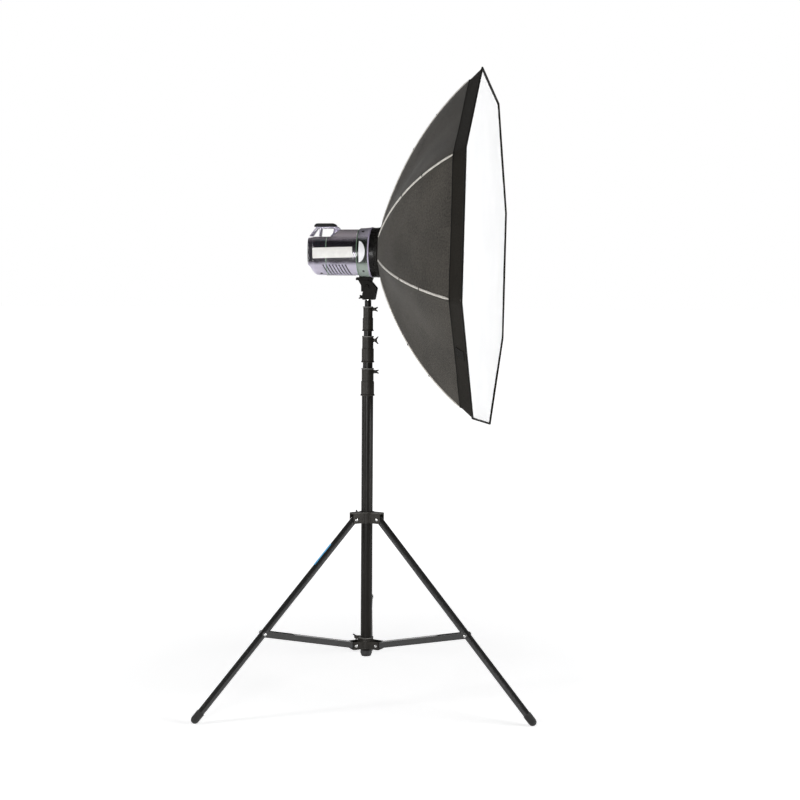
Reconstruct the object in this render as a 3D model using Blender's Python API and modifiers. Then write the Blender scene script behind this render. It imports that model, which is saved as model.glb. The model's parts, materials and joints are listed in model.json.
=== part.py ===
"""Octabox on a compact studio flash head and a three-riser light stand.

Metres, +Z up. The origin is on the floor, on the axis of the stand's column.
The flash head and the octabox are built in the head's own frame: +X along the
optical axis, +Y across it, +Z up, turned by HEAD_YAW about the column.
"""
import math

import bmesh
import bpy
from mathutils import Matrix, Vector

# ---------------------------------------------------------------- dimensions
# Stand
COLUMN_R, COLUMN_WALL = 0.0175, 0.0015
COLUMN_BOTTOM, COLUMN_TOP = 0.1505, 0.9725
PLUG_BOTTOM = 0.1326
COLLAR_PIVOT_R = 0.043            # radius of the leg and brace pivots
UPPER_PIVOT_Z, LOWER_PIVOT_Z = 0.5585, 0.1707
FOOT_RADIUS, FOOT_TIP = 0.5632, 0.0123   # contact circle, rubber tip radius
LEG_R, LEG_WALL = 0.011, 0.0012
BRACE_AT = 0.440                  # brace pivot, measured down the leg
BRACE_HALF_H, BRACE_GAP, BRACE_T = 0.009, 0.0115, 0.0015
LEG_AZIMUTHS = (90.0, 210.0, 330.0)
RISER_R = (0.0150, 0.0125, 0.0100)
RISER_WALL = 0.0014
RISER_BOTTOM = (0.190, 0.212, 0.234)
RISER_TOP = (1.0720, 1.1650, 1.2218)
# clamp sleeves: bottom, step, top, lower radius, upper radius, lower bore
CLAMPS = (
    (0.9335, 0.9760, 1.0166, 0.0200, 0.0182, 0.0178),
    (1.0342, 1.0755, 1.1137, 0.0185, 0.0170, 0.0153),
    (1.1288, 1.1680, 1.2026, 0.0161, 0.0143, 0.0128),
)
CLAMP_SCREW_Z = (1.0060, 1.1010, 1.1945)
CLAMP_SCREW_ROLL = (62.0, 18.0, 118.0)
SPIGOT_R = 0.008
# Bracket
HEAD_YAW = -10.285                # degrees, the head's heading
TILT_Z = 1.2625
TONGUE_R, TONGUE_HALF, EAR_R, EAR_OUT = 0.016, 0.008, 0.018, 0.019
# Flash head
AXIS_Z = 1.3645                   # optical axis
CASE_REAR, CASE_FRONT = -0.174, -0.0220
CASE_HALF_W, CASE_HALF_H, CASE_WALL = 0.0700, 0.0725, 0.0025
DECK_Z = 0.047                    # floor of the handle recess above the axis
# Octabox
RING_REAR, RING_FRONT = 0.0303, 0.0535
ROLL = -15.0                      # the first rod, from straight up
REAR_A, REAR_R, REAR_SLOPE = 0.0406, 0.0741, 71.67
SEAM_A, SEAM_R, SEAM_SLOPE = 0.3184, 0.5068, 40.69
RIM_A, RIM_R = 0.3556, 0.5412
FABRIC_T = 0.002
INNER_A, INNER_R = 0.190, 0.340
ROD_R, ROD_PIVOT_A, ROD_PIVOT_R = 0.0024, 0.0490, 0.0725
GAP = 0.0003

# ---------------------------------------------------------------- scene set-up
for ob in list(bpy.data.objects):
    bpy.data.objects.remove(ob, do_unlink=True)
for col in list(bpy.data.collections):
    bpy.data.collections.remove(col)

PARTS = bpy.data.collections.new("octabox_light")
CUTTERS = bpy.data.collections.new("cutters")
bpy.context.scene.collection.children.link(PARTS)
bpy.context.scene.collection.children.link(CUTTERS)


def material(name, colour, rough, metal=0.0, transmission=0.0):
    mat = bpy.data.materials.new(name)
    mat.use_nodes = True
    shader = mat.node_tree.nodes["Principled BSDF"]
    shader.inputs["Base Color"].default_value = (*colour, 1.0)
    shader.inputs["Roughness"].default_value = rough
    shader.inputs["Metallic"].default_value = metal
    shader.inputs["Transmission Weight"].default_value = transmission
    return mat


BLACK_TUBE = material("satin_black_tube", (0.018, 0.017, 0.016), 0.32, 0.4)
CAST = material("dark_casting", (0.035, 0.035, 0.033), 0.5, 0.5)
STEEL = material("bright_steel", (0.75, 0.75, 0.74), 0.25, 1.0)
RUBBER = material("black_rubber", (0.02, 0.02, 0.02), 0.8)
PLASTIC = material("black_plastic", (0.02, 0.02, 0.021), 0.45)
SHELL = material("violet_polycarbonate", (0.42, 0.38, 0.47), 0.2, 0.0, 0.5)
GLASS = material("lamp_glass", (0.9, 0.9, 0.88), 0.1, 0.0, 0.8)
FABRIC = material("charcoal_fabric", (0.055, 0.05, 0.046), 0.85)
DIFFUSER = material("white_diffuser", (0.9, 0.9, 0.9), 0.75)

# ---------------------------------------------------------------- helpers


def empty(name, parent=None, loc=(0, 0, 0), rot=(0, 0, 0)):
    ob = bpy.data.objects.new(name, None)
    ob.empty_display_size = 0.03
    ob.location, ob.rotation_euler = loc, [math.radians(a) for a in rot]
    ob.parent = parent
    PARTS.objects.link(ob)
    return ob


def put(name, mesh, mat, parent=None, loc=(0, 0, 0), rot=(0, 0, 0), smooth=35):
    ob = bpy.data.objects.new(name, mesh)
    ob.location, ob.rotation_euler = loc, [math.radians(a) for a in rot]
    ob.parent = parent
    if not mesh.materials:
        mesh.materials.append(mat)
    mesh.shade_smooth()
    mesh.set_sharp_from_angle(angle=math.radians(smooth))
    PARTS.objects.link(ob)
    return ob


def mesh_of(bm, name):
    bmesh.ops.recalc_face_normals(bm, faces=bm.faces)
    mesh = bpy.data.meshes.new(name)
    bm.to_mesh(mesh)
    bm.free()
    return mesh


def evaluated(ob, weld=1e-6):
    """The object's evaluated mesh, its modifiers and curve settings applied, as data on its own."""
    deps = bpy.context.evaluated_depsgraph_get()
    mesh = bpy.data.meshes.new_from_object(ob.evaluated_get(deps))
    bm = bmesh.new()
    bm.from_mesh(mesh)
    bmesh.ops.remove_doubles(bm, verts=bm.verts, dist=weld)
    bm.to_mesh(mesh)
    bm.free()
    mesh.materials.clear()
    bpy.data.objects.remove(ob, do_unlink=True)
    return mesh


def box(size, centre=(0, 0, 0), bevel=0.0, segments=2):
    bm = bmesh.new()
    bmesh.ops.create_cube(bm, size=1.0, matrix=Matrix.Translation(centre) @ Matrix.Diagonal((*size, 1.0)))
    if bevel:
        bmesh.ops.bevel(bm, geom=bm.edges[:], offset=bevel, segments=segments, profile=0.5, affect="EDGES")
    return mesh_of(bm, "box")


AXES = {"X": Matrix.Rotation(math.radians(90), 4, "Y"), "Y": Matrix.Rotation(math.radians(-90), 4, "X"), "Z": Matrix.Identity(4)}


def cylinder(radius, start, end, axis="Z", segments=24, at=(0, 0, 0), top=None):
    """A cylinder (or a cone, with top) along an axis, from start to end, through the point at."""
    bm = bmesh.new()
    place = Matrix.Translation(at) @ AXES[axis] @ Matrix.Translation((0, 0, (start + end) / 2))
    bmesh.ops.create_cone(bm, cap_ends=True, segments=segments, radius1=radius,
                          radius2=radius if top is None else top, depth=end - start, matrix=place)
    return mesh_of(bm, "cylinder")


def turned(profile, steps=32, closed=True, axis="Z"):
    """A profile of (radius, height) points turned about an axis. A closed profile is a ring."""
    bm = bmesh.new()
    verts = [bm.verts.new((r, 0.0, z)) for r, z in profile]
    for a, b in zip(verts, verts[1:]):
        bm.edges.new((a, b))
    if closed:
        bm.edges.new((verts[-1], verts[0]))
    mesh = bpy.data.meshes.new("profile")
    bm.to_mesh(mesh)
    bm.free()
    ob = bpy.data.objects.new("profile", mesh)
    CUTTERS.objects.link(ob)
    screw = ob.modifiers.new("turn", "SCREW")
    screw.axis, screw.angle = "Z", math.tau
    screw.steps = screw.render_steps = steps
    screw.use_merge_vertices, screw.merge_threshold = True, 1e-6
    out = evaluated(ob)
    out.transform(AXES[axis])
    return out


def tube_mesh(r_out, r_in, z0, z1, steps=32):
    return turned([(r_out, z1), (r_out, z0), (r_in, z0), (r_in, z1)], steps)


def outline(points, thickness, holes=(), bevel=0.0, plane="XZ"):
    """A flat outline as a 2D curve, filled and extruded on both sides of its plane."""
    curve = bpy.data.curves.new("outline", "CURVE")
    curve.dimensions, curve.fill_mode = "2D", "BOTH"
    curve.extrude = thickness / 2 - bevel
    curve.bevel_depth, curve.bevel_resolution = bevel, 1
    if bevel:
        curve.offset = -bevel
    for loop in (points, *holes):
        spline = curve.splines.new("POLY")
        spline.points.add(len(loop) - 1)
        for point, (u, v) in zip(spline.points, loop):
            point.co = (u, v, 0.0, 1.0)
        spline.use_cyclic_u = True
    ob = bpy.data.objects.new("outline", curve)
    CUTTERS.objects.link(ob)
    mesh = evaluated(ob)
    if plane == "XZ":                      # u to X, v to Z, extruded along Y
        mesh.transform(Matrix.Rotation(math.radians(90), 4, "X"))
    elif plane == "YZ":                    # u to Y, v to Z, extruded along X
        mesh.transform(Matrix(((0, 0, 1, 0), (1, 0, 0, 0), (0, 1, 0, 0), (0, 0, 0, 1))))
    return mesh


def circle(cx, cy, r, n=16, start=0.0, sweep=360.0):
    closed = abs(sweep) >= 360.0
    count = n if closed else n + 1
    return [(cx + r * math.cos(math.radians(start + sweep * i / n)),
             cy + r * math.sin(math.radians(start + sweep * i / n))) for i in range(count)]


def rod_mesh(points, radius, resolution=2):
    """A round bar along points: a poly curve with a bevel and filled caps, as a mesh."""
    curve = bpy.data.curves.new("bar", "CURVE")
    curve.dimensions, curve.bevel_depth, curve.bevel_resolution = "3D", radius, resolution
    curve.use_fill_caps = True
    spline = curve.splines.new("POLY")
    spline.points.add(len(points) - 1)
    for point, co in zip(spline.points, points):
        point.co = (*co, 1.0)
    ob = bpy.data.objects.new("bar", curve)
    CUTTERS.objects.link(ob)
    return evaluated(ob, 1e-5)


def boolean(mesh, others, operation):
    """Cut from, or join to, a mesh with the EXACT solver, and give the result as a mesh."""
    base = bpy.data.objects.new("base", mesh)
    CUTTERS.objects.link(base)
    tools = []
    for other in others:
        tool = bpy.data.objects.new("tool", other)
        tool.hide_render, tool.display_type = True, "WIRE"
        CUTTERS.objects.link(tool)
        tools.append(tool)
        modifier = base.modifiers.new(operation.lower(), "BOOLEAN")
        modifier.operation, modifier.object, modifier.solver = operation, tool, "EXACT"
    bpy.context.view_layer.update()
    result = evaluated(base)
    for tool in tools:
        bpy.data.objects.remove(tool, do_unlink=True)
    return result


def moved(mesh, *steps):
    copy = mesh.copy()
    matrix = Matrix.Identity(4)
    for step in steps:
        matrix = matrix @ step
    copy.transform(matrix)
    return copy


def shift(x, y, z):
    return Matrix.Translation((x, y, z))


def turn(angle, axis):
    return Matrix.Rotation(math.radians(angle), 4, axis)


# ---------------------------------------------------------------- stand: legs
STAND = empty("stand")
leg_run = Vector((FOOT_RADIUS - COLLAR_PIVOT_R, 0, FOOT_TIP - UPPER_PIVOT_Z))
LEG_LENGTH = leg_run.length
LEG_ANGLE = math.degrees(math.atan2(leg_run.x, -leg_run.z))         # from straight down
brace_end = Vector((COLLAR_PIVOT_R + BRACE_AT * math.sin(math.radians(LEG_ANGLE)), 0,
                    UPPER_PIVOT_Z - BRACE_AT * math.cos(math.radians(LEG_ANGLE))))
brace_run = brace_end - Vector((COLLAR_PIVOT_R, 0, LOWER_PIVOT_Z))
BRACE_LENGTH = brace_run.length
BRACE_ANGLE = math.degrees(math.atan2(brace_run.z, brace_run.x))     # above level

# A leg hangs down its own -Z from its pivot; the rivet's hole crosses it along Y.
leg_mesh = boolean(tube_mesh(LEG_R, LEG_R - LEG_WALL, -(LEG_LENGTH - 0.0068), 0.010, 20),
                   [cylinder(0.0033, -0.02, 0.02, "Y", 10)], "DIFFERENCE")
foot_profile = [(LEG_R + GAP, -LEG_LENGTH + 0.026), (LEG_R + GAP, -LEG_LENGTH + 0.0060), (0.0, -LEG_LENGTH + 0.0060)]
foot_outer = [(0.0126, -LEG_LENGTH + 0.026)]
foot_outer += [(FOOT_TIP * math.cos(math.radians(a)), -LEG_LENGTH - FOOT_TIP * math.sin(math.radians(a)))
               for a in (0, 25, 50, 72)]
foot_outer.append((0.0, -LEG_LENGTH - FOOT_TIP))
foot_mesh = turned(foot_profile[2::-1] + foot_outer, 20, closed=False)

# A brace is a channel: two cheeks astride the leg, joined by a web on top.
cheek_points = circle(0, 0, BRACE_HALF_H, 6, 270, -180) + circle(BRACE_LENGTH, 0, BRACE_HALF_H, 6, 90, -180)
cheek = outline(cheek_points, BRACE_T, [circle(0, 0, 0.0033, 10)])
web = box((BRACE_LENGTH - 0.100 - 0.016, 2 * BRACE_GAP + 0.001, 0.0015),
          ((BRACE_LENGTH - 0.100 + 0.016) / 2, 0, BRACE_HALF_H - 0.00075 - 0.0002))
side = BRACE_GAP + BRACE_T / 2
brace_mesh = boolean(web, [moved(cheek, shift(0, side, 0)), moved(cheek, shift(0, -side, 0)),
                           cylinder(0.0046, side - 0.0002, side + 0.0027, "Y", 12, (BRACE_LENGTH, 0, 0), top=0.0034),
                           cylinder(0.0034, -side - 0.0027, -side + 0.0002, "Y", 12, (BRACE_LENGTH, 0, 0), top=0.0046)],
                     "UNION")

for number, azimuth in enumerate(LEG_AZIMUTHS, 1):
    a = math.radians(azimuth)
    pivot = (COLLAR_PIVOT_R * math.cos(a), COLLAR_PIVOT_R * math.sin(a))
    hinge = empty(f"leg_{number}_axis", STAND, (*pivot, UPPER_PIVOT_Z), (0, 0, azimuth))
    put(f"leg_tube_{number}", leg_mesh, BLACK_TUBE, hinge, rot=(0, -LEG_ANGLE, 0))
    put(f"foot_{number}", foot_mesh, RUBBER, hinge, rot=(0, -LEG_ANGLE, 0))
    hinge = empty(f"brace_{number}_axis", STAND, (*pivot, LOWER_PIVOT_Z), (0, 0, azimuth))
    put(f"brace_{number}", brace_mesh, BLACK_TUBE, hinge, rot=(0, -BRACE_ANGLE, 0))


# ---------------------------------------------------------------- stand: collars
def rivet(half_width):
    """A rivet along Y, peened into both cheeks of a lug: a shank with a domed head at each end."""
    reach = half_width + 0.003
    profile = [(0.0, reach + 0.0023), (0.0030, reach + 0.0018), (0.0046, reach - 0.0004)]
    profile += [(0.0030, reach - 0.0004), (0.0030, -reach + 0.0004)]
    profile += [(r, -z) for r, z in profile[2::-1]]
    return turned(profile, 12, closed=False, axis="Y")


def collar(z_low, z_high, z_sleeve, pivot_z, slot_half, floor, roof, screw_z):
    """A cast collar: a sleeve with three forked lugs and their rivets; a slot is shut above by a roof or below by a floor."""
    half = slot_half + 0.003
    body = cylinder(0.0235, z_low, z_high, segments=28)
    lugs, slots, pins = [], [], []
    for azimuth in LEG_AZIMUTHS:
        spin = turn(azimuth, "Z")
        reach = 0.052
        lugs.append(moved(box((reach - 0.008, 2 * half, z_high - z_low), ((reach + 0.008) / 2, 0, (z_low + z_high) / 2)), spin))
        low, high = (z_low - 0.01, roof) if roof else (floor, z_high + 0.01)
        slots.append(moved(box((0.040, 2 * slot_half, high - low), (0.0250 + 0.020, 0, (low + high) / 2)), spin))
        pins.append(moved(rivet(slot_half), spin, shift(COLLAR_PIVOT_R, 0, pivot_z)))
    screw_spin = turn(150, "Z")
    boss = moved(cylinder(0.0062, 0.019, 0.0300, "X", 12, (0, 0, screw_z)), screw_spin)
    sleeve = cylinder(0.0215, z_low, z_sleeve, segments=28)
    body = boolean(body, lugs + [sleeve, boss], "UNION")
    bore = cylinder(COLUMN_R + 0.0004, z_low - 0.01, z_sleeve + 0.01, segments=28)
    drilled = moved(cylinder(0.0033, 0.010, 0.040, "X", 10, (0, 0, screw_z)), screw_spin)
    return boolean(boolean(body, slots + [bore, drilled], "DIFFERENCE"), pins, "UNION")


def wing_screw(shank, hub=0.0085, span=0.0135, reach=0.0115, thick=0.0032):
    """A wing screw along +X: its shank starts at x = 0 and its wings stand past the hub."""
    rod = cylinder(0.0030, 0.0, shank + 0.002, "X", 12)
    barrel = cylinder(0.0052, shank, shank + hub, "X", 16)
    tip = shank + reach
    half = [(shank + 0.0012, 0.0), (shank + 0.0015, 0.0055), (tip - 0.0042, span - 0.0018), (tip - 0.0012, span),
            (tip, span - 0.0012), (tip - 0.0028, 0.0062), (shank + 0.0066, 0.0040), (shank + 0.0060, 0.0)]
    wings = outline(half + [(x, -z) for x, z in half[-2:0:-1]], thick)
    return boolean(barrel, [rod, wings], "UNION")


UPPER_LOW, UPPER_HIGH = UPPER_PIVOT_Z - 0.0125, UPPER_PIVOT_Z + 0.0195
LOWER_LOW, LOWER_HIGH = LOWER_PIVOT_Z - 0.0118, LOWER_PIVOT_Z + 0.0110
UPPER_SCREW_Z, LOWER_SCREW_Z = UPPER_PIVOT_Z + 0.0100, LOWER_PIVOT_Z + 0.0150
put("upper_collar", collar(UPPER_LOW, UPPER_HIGH, UPPER_HIGH, UPPER_PIVOT_Z, 0.0114, None, UPPER_PIVOT_Z + 0.0158,
                           UPPER_SCREW_Z), CAST, STAND)
put("lower_collar", collar(LOWER_LOW, LOWER_HIGH, LOWER_PIVOT_Z + 0.0195, LOWER_PIVOT_Z, 0.0134,
                           LOWER_PIVOT_Z - 0.0098, None, LOWER_SCREW_Z), CAST, STAND)
collar_screw = wing_screw(0.0135)
spin = math.radians(150)
for name, z, roll in (("upper_collar_screw", UPPER_SCREW_Z, 30), ("lower_collar_screw", LOWER_SCREW_Z, -40)):
    seat = empty(name + "_axis", STAND, (0.0185 * math.cos(spin), 0.0185 * math.sin(spin), z), (0, 0, 150))
    put(name, collar_screw, CAST, seat, rot=(roll, 0, 0))

# ---------------------------------------------------------------- stand: column and risers
put("column_tube", tube_mesh(COLUMN_R, COLUMN_R - COLUMN_WALL, COLUMN_BOTTOM, COLUMN_TOP, 28), BLACK_TUBE, STAND)
plug = [(0.0, 0.1640), (0.0155, 0.1640), (0.0155, COLUMN_BOTTOM - GAP), (0.0176, COLUMN_BOTTOM - GAP), (0.0180, 0.1420),
        (0.0174, 0.1400), (0.0145, PLUG_BOTTOM), (0.0, PLUG_BOTTOM)]
put("column_plug", turned(plug, 24, closed=False), PLASTIC, STAND)

for number, (z0, step, z1, r_low, r_high, bore) in enumerate(CLAMPS):
    riser = RISER_R[number]
    profile = [(r_high + 0.0006, z1), (r_high + 0.0006, z1 - 0.0025), (r_high, z1 - 0.0035), (r_high, step + 0.0012), (r_low, step),
               (r_low, z0 + 0.0050), (r_low + 0.0016, z0 + 0.0026), (r_low + 0.0016, z0), (bore, z0), (bore, step - 0.003),
               (riser + 0.00035, step - 0.003), (riser + 0.00035, z1)]
    sleeve = turned(profile, 28)
    screw_z = CLAMP_SCREW_Z[number]
    boss = cylinder(0.0058, r_high - 0.0020, r_high + 0.0034, "X", 12, (0, 0, screw_z))
    sleeve = boolean(sleeve, [boss], "UNION")
    sleeve = boolean(sleeve, [cylinder(0.0033, riser - 0.002, r_high + 0.01, "X", 10, (0, 0, screw_z))], "DIFFERENCE")
    put(("column_clamp", "riser_1_clamp", "riser_2_clamp")[number], sleeve, CAST, STAND)
    seat = empty(f"clamp_screw_{number + 1}_axis", STAND, (riser + 0.0006, 0, screw_z))
    screw = wing_screw(r_high + 0.0040 - riser - 0.0006, hub=0.0070, span=0.0125, reach=0.0115, thick=0.0030)
    put(f"clamp_screw_{number + 1}", screw, CAST, seat, rot=(CLAMP_SCREW_ROLL[number], 0, 0))
    put(f"riser_{number + 1}", tube_mesh(riser, riser - RISER_WALL, RISER_BOTTOM[number], RISER_TOP[number], 28),
        BLACK_TUBE, STAND)

SOCKET_BOTTOM = TILT_Z - 0.0395
spigot = [(0.0, SOCKET_BOTTOM + 0.0165), (0.0070, SOCKET_BOTTOM + 0.0165), (SPIGOT_R, SOCKET_BOTTOM + 0.0155), (SPIGOT_R, 1.1500), (0.0, 1.1500)]
put("spigot", turned(spigot, 20, closed=False), STEEL, STAND)

# ---------------------------------------------------------------- tilt bracket
SWIVEL = empty("head_pan_axis", None, (0, 0, TILT_Z), (0, 0, HEAD_YAW))
socket_shape = circle(0, 0, EAR_R, 10, 190, -150) + [(0.0268, -0.0040), (0.0262, -0.0075), (0.0205, -0.0368), (0.0180, -0.0395),
                                                     (-0.0150, -0.0395), (-0.0172, -0.0380)]
socket = outline(socket_shape, 2 * EAR_OUT)
LOCK_Z = -0.0310
socket = boolean(socket, [
    box((0.08, 2 * TONGUE_HALF + 0.0008, 0.06), (0, 0, -0.0200 + 0.030)),
    cylinder(0.0043, -0.03, 0.03, "Y", 16),
    cylinder(SPIGOT_R + 0.00035, -0.0500, -0.0225, "Z", 32),
    cylinder(0.0033, -0.04, -0.004, "X", 12, (0, 0, LOCK_Z)),
    box((0.02, 0.06, 0.030), (-0.0230, 0.034, -0.030)), box((0.02, 0.06, 0.030), (-0.0230, -0.034, -0.030)),
], "DIFFERENCE")
put("swivel_socket", socket, CAST, SWIVEL)
seat = empty("socket_screw_axis", SWIVEL, (-0.0088, 0, LOCK_Z), (0, 0, 180))
put("socket_screw", wing_screw(0.0096, hub=0.0060, span=0.0095, reach=0.0090, thick=0.0030), CAST, seat, rot=(60, 0, 0))

TILT = empty("tilt_axis", SWIVEL)
bolt = [(0.0, -0.0240), (0.0062, -0.0236), (0.0070, -0.0225), (0.0070, -EAR_OUT - GAP), (0.0040, -EAR_OUT - GAP), (0.0040, 0.0300), (0.0, 0.0300)]
bolt.reverse()
put("tilt_bolt", turned(bolt, 20, closed=False, axis="Y"), STEEL, SWIVEL)
hub = cylinder(0.0095, EAR_OUT + GAP, 0.0275, "Y", 24)
blade = moved(outline(circle(0, 0, 0.0060, 8, 0, 180) + circle(0, -0.036, 0.0040, 8, 180, 180), 0.0050), shift(0, 0.0245, 0))
put("tilt_lever", boolean(boolean(hub, [blade], "UNION"), [cylinder(0.0043, 0.0, 0.04, "Y", 16)], "DIFFERENCE"), CAST, SWIVEL)

arm_shape = circle(0, 0, TONGUE_R, 14, 200, 165) + [(0.0130, 0.0125), (0.0125, 0.0262), (-0.0330, 0.0262)]
tongue = outline(arm_shape, 2 * TONGUE_HALF)
foot_plate = box((0.0470, 0.034, 0.0072), (-0.0110, 0, 0.0190 + 0.0036), 0.0010, 1)
saddle = box((0.0270, 0.030, 0.0060), (-0.0195, 0, 0.0252), 0.0008, 1)
arm = boolean(tongue, [foot_plate, saddle], "UNION")
put("tilt_arm", boolean(arm, [cylinder(0.0043, -0.03, 0.03, "Y", 16)], "DIFFERENCE"), CAST, TILT)

# ---------------------------------------------------------------- flash head
HEAD = empty("optical_axis", TILT, (0, 0, AXIS_Z - TILT_Z))


def smoothstep(x):
    x = min(max(x, 0.0), 1.0)
    return x * x * (3 - 2 * x)


def case_section(a, inset, count=36):
    """The casing's section at station a: a rounded super-ellipse, cut down at the rear for the handle and the chamfers."""
    near_end = 1 - smoothstep((a - CASE_REAR) / 0.024)
    width = CASE_HALF_W - 0.012 * near_end
    floor = -CASE_HALF_H + 0.031 * near_end
    roof = DECK_Z - 0.003 * near_end + (CASE_HALF_H - DECK_Z) * smoothstep((a + 0.104) / 0.028)
    points = []
    for i in range(count):
        t = math.tau * i / count
        c, s = math.cos(t), math.sin(t)
        y = (width - inset) * math.copysign(abs(c) ** (2 / 2.35), c)
        z = (CASE_HALF_H - inset) * math.copysign(abs(s) ** (2 / 2.35), s)
        high, low = roof - inset, floor + inset
        if z > high - 0.010:                       # rounded run-out under the roof
            z = high - 0.010 * math.exp(-max(z - (high - 0.010), 0.0) / 0.010)
        if z < low + 0.012:
            z = low + 0.012 * math.exp(-max((low + 0.012) - z, 0.0) / 0.012)
        points.append((a, y, z))
    return points


def loft(rings, wrap=False):
    """Quads between rings of equal length; wrap joins the last ring to the first, else the ends are capped."""
    bm = bmesh.new()
    loops = [[bm.verts.new(p) for p in ring] for ring in rings]
    pairs = list(zip(loops, loops[1:])) + ([(loops[-1], loops[0])] if wrap else [])
    for low, high in pairs:
        for i in range(len(low)):
            j = (i + 1) % len(low)
            bm.faces.new((low[i], low[j], high[j], high[i]))
    if not wrap:
        bm.faces.new(loops[0])
        bm.faces.new(loops[-1])
    return mesh_of(bm, "loft")


stations = [CASE_REAR, -0.167, -0.158, -0.150, -0.104, -0.097, -0.090, -0.083, -0.076, CASE_FRONT]
rings = [case_section(a, 0.0) for a in stations] + [case_section(a, CASE_WALL) for a in reversed(stations)]
vent_cutters = []
for i in range(8):                                # slanted cooling slots low on both flanks
    for flank in (-1, 1):
        slot = box((0.0030, 0.030, 0.030))
        vent_cutters.append(moved(slot, shift(-0.118 + 0.0098 * i, flank * 0.058, -0.0535), turn(-24, "Y")))
casing = boolean(loft(rings, wrap=True), vent_cutters, "DIFFERENCE")
put("head_casing", casing, SHELL, HEAD, smooth=50)

panel_ring = [(y, z) for _, y, z in case_section(CASE_REAR + 0.002, CASE_WALL + 0.0006)]
SWITCH, BUTTONS, INLET, SYNC = (0.026, 0.000), ((-0.030, 0.022), (-0.014, 0.022)), (-0.016, -0.021), (0.026, -0.022)
panel = outline(panel_ring, 0.004, [
    [(SWITCH[0] + u, SWITCH[1] + v) for u, v in ((-0.0068, -0.0108), (0.0068, -0.0108), (0.0068, 0.0108), (-0.0068, 0.0108))],
    *[circle(u, v, 0.0045, 16) for u, v in (*BUTTONS, SYNC)],
    [(INLET[0] + u, INLET[1] + v) for u, v in ((-0.0142, -0.0102), (0.0142, -0.0102), (0.0142, 0.0102), (-0.0142, 0.0102))],
], plane="YZ")
PANEL_A = CASE_REAR + 0.0032
put("rear_panel", panel, PLASTIC, HEAD, (PANEL_A, 0, 0))
sync = [(0.0, 0.0060), (0.0050, 0.0060), (0.0050, 0.0024), (0.0040, 0.0024), (0.0040, -0.0036), (0.0024, -0.0036), (0.0024, 0.0040), (0.0, 0.0040)]
put("sync_socket", turned(sync, 20, closed=False, axis="X"), STEEL, HEAD, (PANEL_A, SYNC[0], SYNC[1]))

inlet = boolean(box((0.0116, 0.0278, 0.0198), (0.0036, 0, 0), 0.0006, 1), [box((0.014, 0.0228, 0.0148), (0.0010, 0, 0))], "DIFFERENCE")
pins = [box((0.0080, 0.0014, 0.004), (0.0045, y, z)) for y, z in ((-0.007, -0.0015), (0.007, -0.0015), (0.0, 0.0030))]
put("mains_inlet", boolean(inlet, pins, "UNION"), PLASTIC, HEAD, (PANEL_A - 0.0025, INLET[0], INLET[1]))
rocker = outline([(-0.0046, 0.0098), (-0.0020, 0.0010), (-0.0020, -0.0010), (-0.0046, -0.0098), (0.0030, -0.0088), (0.0050, 0.0), (0.0030, 0.0088)],
                 0.0128)
put("power_switch", rocker, PLASTIC, empty("switch_axis", HEAD, (PANEL_A, SWITCH[0], SWITCH[1])), rot=(0, 6, 0))
for number, (u, v) in enumerate(BUTTONS, 1):
    put(("test_button", "slave_button")[number - 1], cylinder(0.0042, -0.0050, 0.0030, "X", 20), PLASTIC, HEAD, (PANEL_A, u, v))

put("inner_chassis", box((0.118, 0.088, 0.074), (-0.091, 0, -0.008), 0.002, 1), PLASTIC, HEAD)
blades = [cylinder(0.0100, -0.0035, 0.0035, "X", 16)]
for i in range(5):
    blades.append(moved(box((0.0014, 0.0120, 0.0190), (0, 0, 0.0185)), turn(72 * i, "X"), turn(30, "Z")))
put("cooling_fan", boolean(blades[0], blades[1:], "UNION"), PLASTIC, empty("fan_axis", HEAD, (-0.1560, 0, 0.0)))

front = [(0.0, 0.0100), (0.0640, 0.0100), (0.0655, 0.0155), (0.0750, 0.0155), (0.0753, 0.0110), (0.0738, 0.0010), (0.0727, -0.0214),
         (0.0700, -0.0214), (0.0700, 0.0040), (0.0, 0.0040)]
put("front_collar", turned(front, 36, closed=False, axis="X"), SHELL, HEAD)
tube_points = [(0.0, 0.0300 * math.sin(math.radians(t)), 0.0300 * math.cos(math.radians(t))) for t in range(-160, 161, 20)]
legs = [Vector((-0.0120, *Vector(tube_points[0])[1:])), Vector((-0.0120, *Vector(tube_points[-1])[1:]))]
put("flash_tube", rod_mesh([legs[0], *tube_points, legs[1]], 0.0040, 2), GLASS, HEAD, (0.0235, 0, 0))
lamp = [(0.0, 0.0480), (0.0070, 0.0470), (0.0120, 0.0430), (0.0140, 0.0370), (0.0120, 0.0290), (0.0090, 0.0230), (0.0100, 0.0220),
        (0.0110, 0.0104), (0.0, 0.0104)]
put("modelling_lamp", turned(lamp, 18, closed=False, axis="X"), GLASS, HEAD)
put("bayonet_ring", turned([(0.0735, 0.0300), (0.0735, 0.0175), (0.0745, 0.0160), (0.0590, 0.0160), (0.0590, 0.0300)], 36, axis="X"), PLASTIC, HEAD)

# handle: a bar on three struts over the recess, with a rubber grip on top
bar = [(-0.1790, 0.0480), (-0.1590, 0.0735), (-0.1590, 0.0790), (-0.1010, 0.0790), (-0.0930, 0.0765), (-0.0860, 0.0690), (-0.0850, 0.0662),
       (-0.0905, 0.0640), (-0.1000, 0.0560), (-0.1080, 0.0500), (-0.1120, 0.0478), (-0.1150, 0.0478), (-0.1070, 0.0560), (-0.1035, 0.0690),
       (-0.1060, 0.0712), (-0.1425, 0.0712), (-0.1455, 0.0480), (-0.1495, 0.0480), (-0.1478, 0.0712), (-0.1550, 0.0712), (-0.1715, 0.0480)]
put("handle_frame", outline(bar, 0.026), SHELL, HEAD)
put("handle_grip", box((0.062, 0.030, 0.0066), (-0.1310, 0, 0.0793 + 0.0035), 0.0022, 3), RUBBER, HEAD)

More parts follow.
